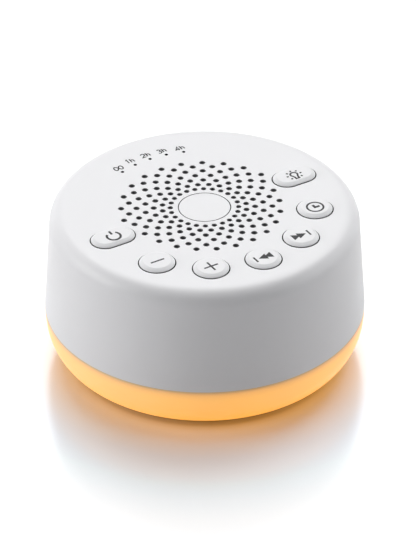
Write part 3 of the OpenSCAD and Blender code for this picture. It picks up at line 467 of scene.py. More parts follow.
# White ABS of the housing and the keys, moulded in a finely spark-eroded tool: an even, silky white
housingAbs = grainFinish("whiteHousingAbs", "#eeeef0", 0.4, 0.11, 0.006, tone=0.012, toneSize=22.0)
keyAbs = grainFinish("whiteKeyAbs", "#eeeef0", 0.4, 0.08, 0.003, tone=0.012, toneSize=9.0)
# The same ABS below and inside, from plainer tools: a little greyer, duller and coarser
coverAbs = grainFinish("whiteCoverAbs", "#dfe0e1", 0.55, 0.16, 0.012, toneSize=18.0)
innerAbs = grainFinish("whiteInnerAbs", "#d9dadb", 0.5, 0.2, 0.008)
# Grey on the walls of the grille's holes: painted shade, darker than the white ABS round them
holeShadeGrey = grainFinish("greyPaintedHoleShade", "#98989a", 0.85, 0.06, 0.01, tone=0.3, toneSize=1.0, shine=0.15)
# Black on the skirts of the keys, the walls of their openings and of the timer's holes, and the cap's side and
# recess: painted shade that darkens the gaps round them
gapShadeBlack = grainFinish("blackPaintedGapShade", "#141416", 0.8, 0.06, 0.01, tone=0.3, toneSize=1.0, shine=0.15)
# Pad-printed dark grey ink, matt
inkGrey = grainFinish("greyPrintInk", "#2f2f31", 0.6, 0.05, 0.002, tone=0.08, toneSize=1.5, shine=0.25)
# Natural rubber of the feet, with a fine talc-like grain
footRubber = grainFinish("blackFootRubber", "#1d1d1f", 0.78, 0.14, 0.015, tone=0.25, toneSize=3.0, shine=0.35)
# Moulded nylon of the power inlet, black with a soft shine
inletNylon = grainFinish("blackInletNylon", "#18181a", 0.48, 0.09, 0.006, tone=0.15, toneSize=4.0)
print("first finishes ready")

housing = {"flatRadius": 42.63, "edgeIn": 5.5, "edgeDrop": 6.5, "edgePower": 2.3, "bodyRadius": 50.0,
           "wall": 2.2, "seam": 17.8, "lean": 1.87, "top": 52.25, "columns": 192, "seamRound": 0.05,
           "upperRows": (44.2, 42.0, 39.0), "lowerRows": (22.3, 20.2, 18.6), "innerRows": (21.0, 40.5)}
grille = {"inner": 10.55, "outer": 25.7, "swell": 0.24, "bend": 0.3, "hole": 1.93, "taper": 0.25,
          "shrink": 0.4, "rows": 7, "count": 24, "rear": (1, 179), "sides": 16, "rounding": 0.1}
cap = {"radius": 7.92, "gap": 0.28, "recess": 0.8, "rise": 0.0, "rounding": 0.04, "footRound": 0.1,
       "recessRound": 0.03}
keys = {"round": 10.95, "ringRadius": 34.0, "pitch": 28.2, "pillWidth": 8.95, "pillSpread": 2.6, "pillAt": 32.75,
        "gap": 0.2, "top": 53.25, "face": 1.2, "bevelIn": 0.42, "bevelDown": 0.44, "bevelRounds": (0.35, 0.3, 0.2),
        "bevelFoot": 0.2, "paintFrom": 52.3, "flangeTop": 49.95, "flange": 48.95, "lap": 0.77, "skirt": 1.2,
        "roof": 1.6, "stem": 1.7, "stemSpread": 0.04, "stemEnd": 45.7, "openingRound": 0.05, "ease": 0.135,
        "columns": 64}
timer = {"radius": 32.7, "pitch": 10.0, "hole": 1.12, "rounding": 0.03, "sides": 16}
inlet = {"height": 30.3, "wallHole": 4.3, "block": 4, "rowPitch": 1.5, "rounding": 0.25, "flare": 0.3, "sides": 40,
         "nose": 4.0, "bore": 3.2, "back": 32.495, "front": 46.295, "noseEnd": 48.295, "boreEnd": 38.795,
         "rootEnd": 36.395, "rootHole": 1.35, "halfWidth": 4.5, "low": 23.9, "high": 34.8, "edge": 0.3,
         "edgeMiddle": 0.09, "mouth": 0.35, "mouthDepth": 0.5}
arcShare = 0.293  # 1 - cos 45 degrees, where the middle of a quarter circle lies
holdShare = 1.7  # where the flat round an opening begins, in roundings of its edge

edgeHeight = housing["top"] - housing["edgeDrop"]
underside = housing["top"] - housing["wall"]


def wallRadius(z):
    return housing["bodyRadius"] - housing["lean"] * (z - housing["seam"]) / (edgeHeight - housing["seam"])


def grilleHoles(g):
    # Ring i of the grille lies at t = i / (rows - 1): inner + (outer - inner) * (t + swell t (1 - t) (t - bend)),
    # odd rings are turned by half a step, and the outermost covers only the rear half. A hole in ring i is
    # hole - taper * shrink ** i across
    i, k = np.meshgrid(np.arange(g["rows"]), np.arange(g["count"]), indexing="ij")
    t = i / (g["rows"] - 1)
    r = g["inner"] + (g["outer"] - g["inner"]) * (t + g["swell"] * t * (1 - t) * (t - g["bend"]))
    a = 360 / g["count"] * (k + (i % 2) / 2)
    size = g["hole"] - g["taper"] * g["shrink"] ** i
    use = (i < g["rows"] - 1) | ((a > g["rear"][0]) & (a < g["rear"][1]))
    a, r, size = np.radians(a[use]), r[use], size[use]
    return np.stack([r * np.cos(a), r * np.sin(a)], -1), size / 2


# Angles run anticlockwise from the right: 90 is the rear, 270 the front
keyAngles = 270 + keys["pitch"] * np.arange(-2, 3)
timerAngles = 90 + timer["pitch"] * np.arange(-2, 3)


def onCircle(r, degrees):
    a = np.radians(degrees)
    return np.stack([r * np.cos(a), r * np.sin(a)], -1)


def openingRows(shell, centres, radii, levels, steps, spread=0.0):
    # One row of points per level (offset, z) round every centre, all holes of a kind at once
    rows = []
    for offset, z in levels:
        rings = ringRow(radii[:, None] + offset, z, steps, spread)
        rings[..., :2] += centres[:, None]
        rows.append(addPoints(shell, rings))
    return rows


def openingLevels(rounding, bottom):
    # A quarter circle of that radius rounds the edge: one point for holding the flat, three on the arc
    top, f = housing["top"], rounding
    return [(f * holdShare, top), (f, top), (f * arcShare, top - f * arcShare), (0.0, top - f), (0.0, bottom)]


def buildHousing():
    shell = newShell()
    h, n = housing, housing["columns"]
    block = inlet["height"] + inlet["rowPitch"] * np.arange(inlet["block"], -inlet["block"] - 1, -1)
    outerEdge = superQuarter(h["flatRadius"], edgeHeight, h["edgeIn"], h["edgeDrop"], h["edgePower"],
                             steps=26)[::-1]
    innerEdge = superQuarter(h["flatRadius"], edgeHeight, h["edgeIn"] - h["wall"], h["edgeDrop"] - h["wall"],
                             h["edgePower"], steps=12)
    outerZ = np.concatenate([h["upperRows"], block, h["lowerRows"]])
    outerWall = np.stack([wallRadius(outerZ), outerZ], -1)
    lowest = h["lowerRows"][-1]
    foot = softCorners([(wallRadius(lowest), lowest, 0), (h["bodyRadius"], h["seam"], h["seamRound"]),
                        (h["bodyRadius"] - h["wall"], h["seam"], h["seamRound"]),
                        (wallRadius(lowest) - h["wall"], lowest, 0)], steps=2, hold=0.12)[1:-1]
    innerZ = np.array([lowest, h["innerRows"][0], *block[::-1], h["innerRows"][1]])
    innerWall = np.stack([wallRadius(innerZ) - h["wall"], innerZ], -1)
    profile = np.vstack([outerEdge, outerWall, foot, innerWall, innerEdge])
    rows = addPoints(shell, ringRow(profile[:, :1], profile[:, 1:], n))

    # The grid of the wall, without the block of cells round the inlet's hole in both walls
    middle, reach = n // 4, inlet["block"]
    across = np.abs(np.arange(n) + 0.5 - middle) < reach
    for i in range(len(rows) - 1):
        za, zb = profile[i, 1], profile[i + 1, 1]
        straight = i >= len(outerEdge) and i < len(rows) - len(innerEdge) - 1
        inBlock = straight and max(za, zb) <= block[0] + 1e-6 and min(za, zb) >= block[-1] - 1e-6
        addBand(shell, rows[i + 1], rows[i], keep=~across if inBlock else None)
    borders = []
    outerFirst = len(outerEdge) + len(h["upperRows"])
    innerFirst = len(outerEdge) + len(outerWall) + len(foot) + 2
    for first, step in ((outerFirst, 1), (innerFirst, -1)):
        grid = rows[first:first + len(block), middle - reach:middle + reach + 1][::step]
        # grid runs from the top row down; the border goes along the bottom, up, back and down
        borders.append(np.concatenate([grid[-1, :-1], grid[:0:-1, -1], grid[0, :0:-1], grid[:-1, 0]]))

    def wallCircle(size, thickness, inwards=0.0):
        # Points of a circle round the inlet's axis, in the wall's surface and moved inwards along -Y
        x, z = shell["points"][borders[0]][:, 0], shell["points"][borders[0]][:, 2] - inlet["height"]
        a = np.arctan2(z, x)
        x, z = size * np.cos(a), inlet["height"] + size * np.sin(a)
        return np.stack([x, np.sqrt((wallRadius(z) - thickness) ** 2 - x ** 2) - inwards, z], -1)

    f, hole = inlet["rounding"], inlet["wallHole"]
    circles = [wallCircle(hole + f * 2, 0), wallCircle(hole + f, 0),
               wallCircle(hole + f * arcShare, 0, f * arcShare), wallCircle(hole, 0, f),
               wallCircle(hole, h["wall"]), wallCircle(hole + inlet["flare"], h["wall"])]
    addRows(shell, [borders[0], *addPoints(shell, np.array(circles)), borders[1]], ends=False)

    # Openings in the top, down to the underside; the walls of the grille's holes are in grey painted shade, those
    # of the other openings in black painted shade
    centres, radii = grilleHoles(grille)
    room = keys["gap"] + keys["ease"]
    pillCentres = np.array([[-keys["pillAt"], 0], [keys["pillAt"], 0]])
    kinds = [(centres, radii, grille["rounding"], grille["sides"]),
             (onCircle(timer["radius"], timerAngles), np.full(5, timer["hole"] / 2), timer["rounding"],
              timer["sides"]),
             (onCircle(keys["ringRadius"], keyAngles), np.full(5, keys["round"] / 2 + room), keys["openingRound"],
              keys["columns"]),
             (pillCentres, np.full(2, keys["pillWidth"] / 2 + room), keys["openingRound"], keys["columns"],
              keys["pillSpread"])]
    kinds = [openingRows(shell, middles, sizes, openingLevels(rounding, underside), *shape)
             for middles, sizes, rounding, *shape in kinds]
    for kind, holeWallShade in zip(kinds, (1, 2, 2, 2)):
        addRows(shell, kind, [0, 0, 0, holeWallShade], ends=False)
    # The cap's recess, its wall and floor in the black painted shade
    capRows = openingRows(shell, np.zeros((1, 2)), np.array([cap["radius"] + cap["gap"]]),
                          openingLevels(cap["recessRound"], h["top"] - cap["recess"]), 128)
    addRows(shell, capRows, [0, 0, 0, 2], ends=False)
    addCap(shell, capRows[-1], 2)
    topLoops = [row for kind in kinds for row in kind[0]] + [capRows[0][0]]
    lowLoops = [row for kind in kinds for row in kind[-1]]
    shell["blocks"].append((flatBetween(shell, rows[0], topLoops), 0))
    shell["blocks"].append((flatBetween(shell, rows[-1], lowLoops)[:, ::-1], 0))
    return shell


# Radius, ring that they stand on, angles, height of the foot, radius and depth of the pilot hole
bosses = {
    "case": {"r": 3.0, "ring": 42.2, "angles": (45, 135, 227.7, 312.3), "foot": 19.8, "pilot": 1.5, "depth": 11.0},
    "board": {"r": 2.0, "ring": 37.2, "angles": (22, 158, 255.9, 284.1), "foot": 41.0, "pilot": 0.8, "depth": 5.0},
    "speaker": {"r": 2.0, "ring": 27.4, "angles": (52.5, 127.5, 227.7, 312.3), "foot": 48.25, "pilot": 0.8,
                "depth": 2.9},
}
bossRoot, bossRounds = 0.4, (0.15, 0.2)  # how far a boss reaches into the roof, roundings of its foot
rib = {"thick": 1.4, "top": 40.75, "end": 48.06, "clear": 0.7}


def buildBosses():
    shells = []
    for boss in bosses.values():
        foot = boss["foot"]
        outline = softCorners([(boss["pilot"], foot + boss["depth"], 0), (boss["pilot"], foot, bossRounds[0]),
                               (boss["r"], foot, bossRounds[1]), (boss["r"], underside + bossRoot, 0)], steps=2)
        shells += spaced(turned(outline, steps=32), boss["ring"], boss["angles"])
    case = bosses["case"]
    near, far = case["ring"] + case["pilot"] + rib["clear"], rib["end"]
    left, right = -rib["thick"] / 2, rib["thick"] / 2
    web = skinned([[[near, left, z], [far, left, z], [far, right, z], [near, right, z]]
                   for z in (case["foot"], rib["top"])])
    return shells + [moved(web, angle) for angle in case["angles"]]


housingShell = joined([facesOut(buildHousing())] + buildBosses())
makePiece("housingMoulding", housingShell, [housingAbs, holeShadeGrey, gapShadeBlack], "top_housing", sharpFrom=50)
print("housing:", sum(len(block) for block, _ in housingShell["blocks"]), "faces")

capTop = housing["top"] + cap["rise"]
capFoot = housing["top"] - cap["recess"]
capOutline = softCorners([(cap["radius"] - 1, capFoot, 0), (cap["radius"], capFoot, cap["footRound"]),
                          (cap["radius"], capTop, cap["rounding"]), (cap["radius"] - 1, capTop, 0)], steps=5)
# The cap's straight side is in the black painted shade of its gap
capShadedSide = (np.abs(np.diff(capOutline[:, 0])) < 1e-6).astype(int).tolist()
makePiece("capDisc", turned(capOutline, steps=128, finishes=capShadedSide), [housingAbs, gapShadeBlack], "centre_cap")

lightRing = {"foot": 1.0, "footRadius": 36.0, "height": 16.8, "power": 2.43, "wall": 2.0, "floor": 2.2,
             "flange": 1.8, "flangeIn": 45.5, "rebate": 35.7, "rebateTop": 2.2, "lip": 33.7,
             "seamRound": 0.05, "headRound": 0.2, "footRound": 0.12}

# byHeight is the share of the full glow by height in mm: dark sole, dimmer towards the seam. ripple is how much
# brighter or darker than that it gets between and over the lamps and in the milky clouds of the acrylic
opal = {"colour": "#bdb9a0", "glow": "#e79700", "roughness": 0.38, "shine": 0.35, "lamps": 12, "ripple": 0.015,
        "cloud": 9.0, "grain": 0.2, "depth": 0.003, "reach": 20,
        "byHeight": {1.0: 0.0, 1.8: 1.0, 14.6: 1.0, 15.7: 0.9, 16.5: 0.78, 17.6: 0.3}}


def opalFinish(name, p):
    # Opal acrylic lit from inside: the glow is the share by height times the ripple, cos(lamps * angle), of the
    # lamps and that of the clouds
    finish, tree, shader, place = startFinish(name)
    axes = addNode(tree, "SeparateXYZ", in0=place)
    angle = addNode(tree, "Math", operation="ARCTAN2", in0=axes.outputs[1], in1=axes.outputs[0])
    times = addNode(tree, "Math", operation="MULTIPLY", in0=angle, in1=p["lamps"])
    wave = addNode(tree, "Math", operation="COSINE", in0=times)
    dark, bright = 1 - p["ripple"], 1 + p["ripple"]
    lamps = addNode(tree, "MapRange", Value=wave, From_Min=-1.0, From_Max=1.0, To_Min=bright, To_Max=dark)
    height = addNode(tree, "MapRange", Value=axes.outputs[2], From_Max=p["reach"] * mm)
    band = addNode(tree, "ValToRGB", Fac=height)
    setStops(band, {z / p["reach"]: share for z, share in p["byHeight"].items()})
    cloud = addNode(tree, "TexNoise", Vector=place, Scale=spotSize(p["cloud"]), Detail=2.0)
    milky = addNode(tree, "MapRange", Value=cloud, To_Min=dark, To_Max=bright)
    both = addNode(tree, "Math", operation="MULTIPLY", in0=lamps, in1=band)
    power = addNode(tree, "Math", operation="MULTIPLY", in0=both, in1=milky)
    grain = addNode(tree, "TexNoise", Vector=place, Scale=spotSize(p["grain"]), Detail=2.0)
    bump = addNode(tree, "Bump", Strength=1.0, Distance=p["depth"] * mm, Height=grain)
    setNode(tree, shader, Base_Color=linear(p["colour"]), Roughness=p["roughness"], Normal=bump,
            Specular_IOR_Level=p["shine"], Emission_Color=linear(p["glow"]), Emission_Strength=power)
    return finish


opalGlow = opalFinish("opalRingAcrylic", opal)


def buildLightRing(g):
    # Outer and inner wall are quarters of a superellipse, with a flange above and a foot with a rebate below
    top = g["foot"] + g["height"]
    flange = top - g["flange"]
    bodyRadius = housing["bodyRadius"]
    outer = superQuarter(g["footRadius"], 0, bodyRadius - g["footRadius"], g["height"], g["power"], steps=40)
    outer = np.stack([outer[:, 0], top - outer[:, 1]], -1)[1:]
    inner = superQuarter(g["footRadius"], 0, bodyRadius - g["footRadius"] - g["wall"],
                         g["height"] - g["flange"] - g["floor"], g["power"], steps=20)[::-1]
    inner = np.stack([inner[:, 0], flange - inner[:, 1]], -1)
    head = softCorners([(g["flangeIn"], flange, 0), (g["flangeIn"], top, g["headRound"]),
                        (bodyRadius, top, g["seamRound"]), (bodyRadius, top - 3, 0)], steps=2, hold=0.12)[:-1]
    foot = softCorners([(g["footRadius"] + 1, g["foot"], 0), (g["rebate"], g["foot"], g["footRound"]),
                        (g["rebate"], g["rebateTop"], 0), (g["lip"], g["rebateTop"], 0),
                        (g["lip"], g["foot"] + g["floor"], 0)], steps=2)[1:]
    return turned(np.vstack([head, outer, foot, inner]), housing["columns"], closed=True)


makePiece("glowRing", buildLightRing(lightRing), [opalGlow], "light_ring")
print("cap and light ring ready")


def keyShell(width, spread):
    # Face, bevel and side, then flange, skirt, the roof inside and the stem down to the plunger
    k, r = keys, width / 2
    first, second, third = k["bevelRounds"]
    bevel = softCorners([(r - k["face"] - 1, k["top"], 0), (r - k["face"], k["top"], first),
                         (r - k["bevelIn"], k["top"] - k["bevelDown"], second),
                         (r, k["paintFrom"] + k["bevelFoot"], third), (r, k["paintFrom"], 0)],
                        steps=4, hold=0.03)[1:]
    rows = [(*point, spread, 0) for point in bevel] + [(r, k["flangeTop"], spread, 0)]
    painted = len(rows) - 2  # the black painted shade of the gap starts at the bevel's end
    lap, lift = (0.0, k["lap"]) if spread else (k["lap"], 0.0)
    roof, stemSpread = k["top"] - k["roof"], min(spread, k["stemSpread"])
    rows += [(r + lap, k["flangeTop"], spread, lift), (r + lap, k["flange"], spread, lift),
             (r - k["skirt"], k["flange"], spread, 0), (r - k["skirt"], roof, spread, 0),
             (k["stem"], roof, stemSpread, 0), (k["stem"], k["stemEnd"], stemSpread, 0)]
    return skinned([ringRow(a, z, k["columns"], s, up) for a, z, s, up in rows],
                   finishes=[int(i >= painted) for i in range(len(rows) - 1)])


keyCentres = dict(zip(("minus", "plus", "previous", "next", "timer"), onCircle(keys["ringRadius"], keyAngles)))
keyCentres["power"] = np.array([-keys["pillAt"], 0.0])
keyCentres["light"] = np.array([keys["pillAt"], 0.0])
for name, centre in keyCentres.items():
    pill = name in ("power", "light")
    shell = keyShell(keys["pillWidth"], keys["pillSpread"]) if pill else keyShell(keys["round"], 0.0)
    turn = 0 if pill else math.degrees(math.atan2(centre[1], centre[0]))
    makePiece(name + "KeyCap", moved(moved(shell, turn), by=(*centre, 0)), [keyAbs, gapShadeBlack], name + "_key",
              body=name + "_button", sharpFrom=50)
print("keys ready")

ink = {"thick": 0.02, "mitre": 0.45, "keyStroke": 0.6, "labelStroke": 0.42, "labelHeight": 2.0, "labelGap": 0.24,
       "endlessWidth": 2.95, "endlessLift": 1.9}


def stroke(path, width, closed=False):
    # A flat ribbon of ink along a path: each point is moved half the width to both sides along the mitre, which
    # is as long as width / 2 over the cosine of half the bend
    path = np.asarray(path, float)
    ahead = np.roll(path, -1, 0) - path
    behind = path - np.roll(path, 1, 0)
    if not closed:
        ahead[-1], behind[0] = behind[-1], ahead[0]
    ahead /= np.linalg.norm(ahead, axis=1)[:, None]
    behind /= np.linalg.norm(behind, axis=1)[:, None]
    normal = np.stack([-(ahead + behind)[:, 1], (ahead + behind)[:, 0]], -1)
    normal /= np.linalg.norm(normal, axis=1)[:, None]
    bend = np.clip(np.sum(normal * np.stack([-ahead[:, 1], ahead[:, 0]], -1), 1), ink["mitre"], 1)
    side = normal * (width / 2 / bend)[:, None]
    corners = [np.column_stack([path + s, np.full(len(path), up * ink["thick"])])
               for s, up in ((side, 1), (-side, 1), (-side, -1), (side, -1))]
    return skinned(np.stack(corners, 1), closed)


def patch(outline, lift=0.0):
    # A filled convex shape of ink
    return skinned([np.column_stack([outline, np.full(len(outline), lift + t)])
                    for t in (-ink["thick"], ink["thick"])])


def arcPath(x, y, r, start, end, steps):
    a = np.radians(np.linspace(start, end, steps + 1))
    return np.stack([x + r * np.cos(a), y + r * np.sin(a)], -1)


def keySymbols(w):
    # Every symbol is drawn round the middle of its key, in mm; where two patches of ink lap, one is lifted
    arrow, lifted = np.array([[0.0, 0.0], [2.8, 1.5], [2.8, -1.5]]), ink["thick"] / 4
    middle = np.array([-0.15, -0.35])
    rays = [stroke([middle + d * 2.0, middle + d * 2.7], w) for d in onCircle(1.0, np.arange(-3, 4) * 44 + 90)]
    bulb = np.vstack([arcPath(-0.13, -0.1, 1.15, -40, 220, 32),
                      [[-0.7, -1.6], [-0.7, -2.5], [0.42, -2.5], [0.42, -1.6]]])
    return {
        "minus": [stroke([(-2.42, -0.42), (2.22, -0.42)], w)],
        "plus": [stroke([(-2.55, -0.24), (2.25, -0.24)], w), stroke([(-0.13, -2.65), (-0.13, -0.24 - w / 2)], w),
                 stroke([(-0.13, w / 2 - 0.24), (-0.13, 2.12)], w)],
        "previous": [stroke([(-2.95, -1.78), (-2.95, 1.06)], w * 0.95), patch(arrow + [-1.9, -0.36]),
                     patch(arrow + [-0.05, -0.36], lifted)],
        "next": [stroke([(2.6, -1.58), (2.6, 1.26)], w * 0.95), patch(-arrow + [1.65, -0.14]),
                 patch(-arrow + [-0.3, -0.14], lifted)],
        "timer": [stroke(arcPath(-0.15, -0.35, 2.56, 0, 351, 39), w, True),
                  stroke([(-0.3, 0.85), (-0.3, -0.55), (1.35, -0.55)], w * 1.4)],
        "power": [stroke(arcPath(0, -0.58, 2.12, 132, 408, 36), w * 1.2), stroke([(0, 0.5), (0, 2.4)], w * 1.15)],
        "light": [stroke(bulb, w, True)] + rays,
    }


for name, strokes in keySymbols(ink["keyStroke"]).items():
    makePiece(name + "Symbol", moved(joined(strokes), by=(*keyCentres[name], keys["top"])), [inkGrey],
              body=name + "_button")


# Plain sans figures in a box one unit high: the paths that draw each, and its width
figures = {
    "1": ([[(0.0, 0.8), (0.22, 1.0), (0.22, 0.0)]], 0.48),
    "2": ([[*arcPath(0.3, 0.69, 0.3, 165, -38, 14), (0.0, 0.0), (0.64, 0.0)]], 0.66),
    "3": ([[*arcPath(0.28, 0.74, 0.25, 150, -80, 12), *arcPath(0.28, 0.26, 0.29, 80, -150, 14)[1:]]], 0.62),
    "4": ([[(0.5, 0.0), (0.5, 1.0), (0.0, 0.27), (0.68, 0.27)]], 0.7),
    "h": ([[(0.0, 1.0), (0.0, 0.0)], [*arcPath(0.24, 0.4, 0.24, 170, 0, 10), (0.48, 0.0)]], 0.48),
}


def labelStrokes(text):
    strokes, x, height = [], 0.0, ink["labelHeight"]
    for letter in text:
        paths, width = figures[letter]
        strokes += [stroke(np.array(path) * height + [x, -height / 2], ink["labelStroke"]) for path in paths]
        x += (width + ink["labelGap"]) * height
    width = x - ink["labelGap"] * height
    return [moved(s, by=(-width / 2, 0, 0)) for s in strokes]


def endlessSign(width):
    # Lemniscate: (w / 2 cos t, w / 2 * lift * sin t cos t), each divided by 1 + sin(t) ** 2
    t = np.linspace(0, 2 * np.pi, 64, endpoint=False)
    s = 1 + np.sin(t) ** 2
    path = np.stack([width / 2 * np.cos(t) / s, width / 2 * ink["endlessLift"] * np.sin(t) * np.cos(t) / s], -1)
    return [stroke(path, ink["labelStroke"], True)]


labels = {"endless": (-11.2, 33.2), "1h": (-6.0, 35.0), "2h": (-0.15, 35.4), "3h": (5.45, 34.9), "4h": (11.1, 33.3)}
labelShells = []
for text, (x, y) in labels.items():
    strokes = endlessSign(ink["endlessWidth"]) if text == "endless" else labelStrokes(text)
    labelShells += [moved(s, by=(x, y, housing["top"])) for s in strokes]
makePiece("timerLabels", joined(labelShells), [inkGrey])
print("symbols and labels printed")

cover = {"radius": 35.5, "bottom": 1.0, "rimTop": 2.2, "top": 3.2, "spigot": 33.5, "footHole": 4.6, "footTop": 2.0,
         "footRing": 27.5, "feetAt": (45, 135, 225, 315), "screwRing": 22.0, "screwsAt": (0, 90, 180, 270),
         "sink": 2.9, "seat": 2.2, "screwHole": 1.65, "rounding": 0.35, "rimRound": 0.15, "spigotRound": 0.2,
         "edge": 0.15, "edgeHold": 0.25}
foot = {"radius": 4.5, "height": 2.0, "rounding": 0.45, "topRound": 0.1, "dish": 2.9, "dishDepth": 0.12,
        "dishSlope": 0.35, "dishRounds": (0.15, 0.2)}
coverScrew = {"head": 2.7, "headFlat": 2.3, "seat": 2.2, "headHeight": 1.1, "headRound": 0.4, "shank": 1.45,
              "length": 8.0, "cone": 1.4, "tip": 0.15, "slot": 0.42, "slotSlope": 0.1, "reach": 1.6,
              "reachSlope": 0.15, "depth": 0.7, "turn": 20, "sides": 64,
              "faceRows": (0.12, 0.24, 0.34, 0.42, 0.5, 0.6, 0.8, 1.0, 1.2, 1.4, 1.5, 1.6, 1.7, 1.85, 2.2)}


def buildCover(c):
    shell = newShell()
    outline = softCorners([(c["radius"] - 2, c["bottom"], 0), (c["radius"], c["bottom"], c["rounding"]),
                           (c["radius"], c["rimTop"], c["rimRound"]), (c["spigot"], c["rimTop"], 0),
                           (c["spigot"], c["top"], c["spigotRound"]), (c["spigot"] - 1, c["top"], 0)],
                          steps=4)[1:-1]
    rows = addPoints(shell, ringRow(outline[:, :1], outline[:, 1:], 128))
    addRows(shell, rows, ends=False)
    b, bore = c["bottom"], c["screwHole"] - c["sink"]
    edge = [(c["edgeHold"], b), (c["edge"], b), (0, b + c["edge"])]
    feet = openingRows(shell, onCircle(c["footRing"], np.array(c["feetAt"])), np.full(4, c["footHole"]),
                       edge + [(0, c["footTop"])], 48)
    sinks = openingRows(shell, onCircle(c["screwRing"], np.array(c["screwsAt"])), np.full(4, c["sink"]),
                        edge + [(0, c["seat"]), (bore, c["seat"]), (bore, c["top"])], 32)
    for kind in (feet, sinks):
        for i in range(len(kind) - 1):
            addBand(shell, kind[i + 1], kind[i])
    addCap(shell, feet[-1][:, ::-1])
    shell["blocks"].append((flatBetween(shell, rows[0], [*feet[0], *sinks[0]])[:, ::-1], 0))
    shell["blocks"].append((flatBetween(shell, rows[-1], sinks[-1]), 0))
    return facesOut(shell)


makePiece("baseCover", buildCover(cover), [coverAbs], "bottom_cover")


def buildFoot(f):
    # A low rubber button with a shallow moulded dish in its sole
    outline = softCorners([(f["radius"] - 1, f["height"], 0), (f["radius"], f["height"], f["topRound"]),
                           (f["radius"], 0, f["rounding"]), (f["dish"] + f["dishSlope"], 0, f["dishRounds"][0]),
                           (f["dish"], f["dishDepth"], f["dishRounds"][1]), (f["dish"] - 1, f["dishDepth"], 0)],
                          steps=4)
    return turned(outline, steps=48)


makePiece("feet", joined(spaced(buildFoot(foot), cover["footRing"], cover["feetAt"])), [footRubber],
          "rubber_feet")


def buildCrossScrew(s):
    # Pan head over a polar grid: its face is sunk by the cross, whose depth is a clipped ramp of the distance
    # to the nearer arm, then the head's side, seat, shank and cone tip follow as rings
    sides = s["sides"]
    face, end = s["seat"] - s["headHeight"], s["seat"] + s["length"]
    a, r = np.arange(sides) * 2 * np.pi / sides, np.array(s["faceRows"])[:, None]
    x, y = r * np.cos(a), r * np.sin(a)
    arm = np.minimum(np.abs(x), np.abs(y))
    sunk = np.clip((s["slot"] - arm) / s["slotSlope"], 0, 1) * np.clip((s["reach"] - r) / s["reachSlope"], 0, 1)
    side = softCorners([(s["headFlat"], face, 0), (s["head"], face, s["headRound"]), (s["head"], s["seat"], 0.1),
                        (s["shank"], s["seat"], 0), (s["shank"], end - s["cone"], 0), (s["tip"], end, 0)], steps=3)
    return skinned([*np.stack([x, y, face + s["depth"] * sunk], -1), *ringRow(side[:, :1], side[:, 1:], sides)])


# Zinc-plated steel: a cool grey with fine turned lines that break its shine
screwZinc = metalFinish("zincScrewSteel", "#b9bbbd", 0.34, 0.12, 0.004)
crossScrew = buildCrossScrew(coverScrew)
makePiece("baseScrews", joined([moved(moved(crossScrew, coverScrew["turn"] + a / 3),
                                      by=(*onCircle(cover["screwRing"], a), 0)) for a in cover["screwsAt"]]),
          [screwZinc], "cover_screws")


def boxRow(halfX, low, high, y):
    # A loop round the inlet's axis, nearly a rectangle: the circle (r cos a, r sin a) with
    # r = (|cos a| ** 8 + |sin a| ** 8) ** (-1 / 8), stretched to the box
    a = np.arange(inlet["sides"]) * 2 * np.pi / inlet["sides"]
    c, s = np.cos(a), np.sin(a)
    r = (np.abs(c) ** 8 + np.abs(s) ** 8) ** (-1 / 8)
    return np.stack([halfX * r * c, y + 0 * a, (low + high) / 2 + (high - low) / 2 * r * s], -1)


def circleRow(r, y):
    a = np.arange(inlet["sides"]) * 2 * np.pi / inlet["sides"]
    return np.stack([r * np.cos(a), y + 0 * a, inlet["height"] + r * np.sin(a)], -1)


def buildInlet(p):
    # Box with bevelled ends, the round nose in the wall's hole, its mouth and bore, and the seat of the pin
    e, m = p["edge"], p["edgeMiddle"]
    box = (p["halfWidth"], p["low"], p["high"])
    small = (p["halfWidth"] - e, p["low"] + e, p["high"] - e)
    rows = [boxRow(*small, p["back"]), boxRow(*box, p["back"] + e), boxRow(*box, p["front"] - e),
            boxRow(*small, p["front"])]
    rows += [circleRow(r, y) for r, y in (
        (p["nose"], p["front"]), (p["nose"], p["noseEnd"] - e), (p["nose"] - m, p["noseEnd"] - m),
        (p["nose"] - e, p["noseEnd"]), (p["bore"] + p["mouth"], p["noseEnd"]),
        (p["bore"], p["noseEnd"] - p["mouthDepth"]), (p["bore"], p["boreEnd"]), (p["rootHole"], p["boreEnd"]),
        (p["rootHole"], p["rootEnd"]))]
    return skinned(rows)


makePiece("powerInlet", buildInlet(inlet), [inletNylon], "dc_inlet")

pin = {"radius": 1.0, "root": 1.3, "rootIn": 0.6, "rootRounds": (0.15, 0.1), "tipAngles": (15, 30, 45, 60, 75, 86)}


def buildPin(p):
    # Turned pin: a thicker root in the nylon, then a straight stem with half a ball as its tip
    root, start, end = inlet["rootEnd"], inlet["boreEnd"], inlet["front"]
    stem = softCorners([(p["rootIn"], root, 0), (p["root"], root, p["rootRounds"][0]),
                        (p["root"], start, p["rootRounds"][1]), (p["radius"], start, 0), (p["radius"], end, 0)],
                       steps=2)
    return alongY(turned(np.vstack([stem, onCircle(p["radius"], p["tipAngles"]) + [0, end]]), 32), inlet["height"])


# Nickel plate on brass: warmer than the zinc, drawn lines too fine to see one by one
pinNickel = metalFinish("nickelPin", "#c9c4b8", 0.22, 0.08, 0.002, "Y")
makePiece("inletPin", buildPin(pin), [pinNickel], "dc_inlet_pin")
print("underside and inlet ready")

# Smoked acrylic of the light guide: dark and see-through, its polish a little uneven
smokedAcrylic, tree, shader, place = startFinish("smokedGuideAcrylic")
haze = addNode(tree, "TexNoise", Vector=place, Scale=spotSize(1.2), Detail=2.0)
polish = addNode(tree, "MapRange", Value=haze, To_Min=0.12, To_Max=0.24)
setNode(tree, shader, Base_Color=linear("#2a2a2c"), Transmission_Weight=0.35, Roughness=polish)


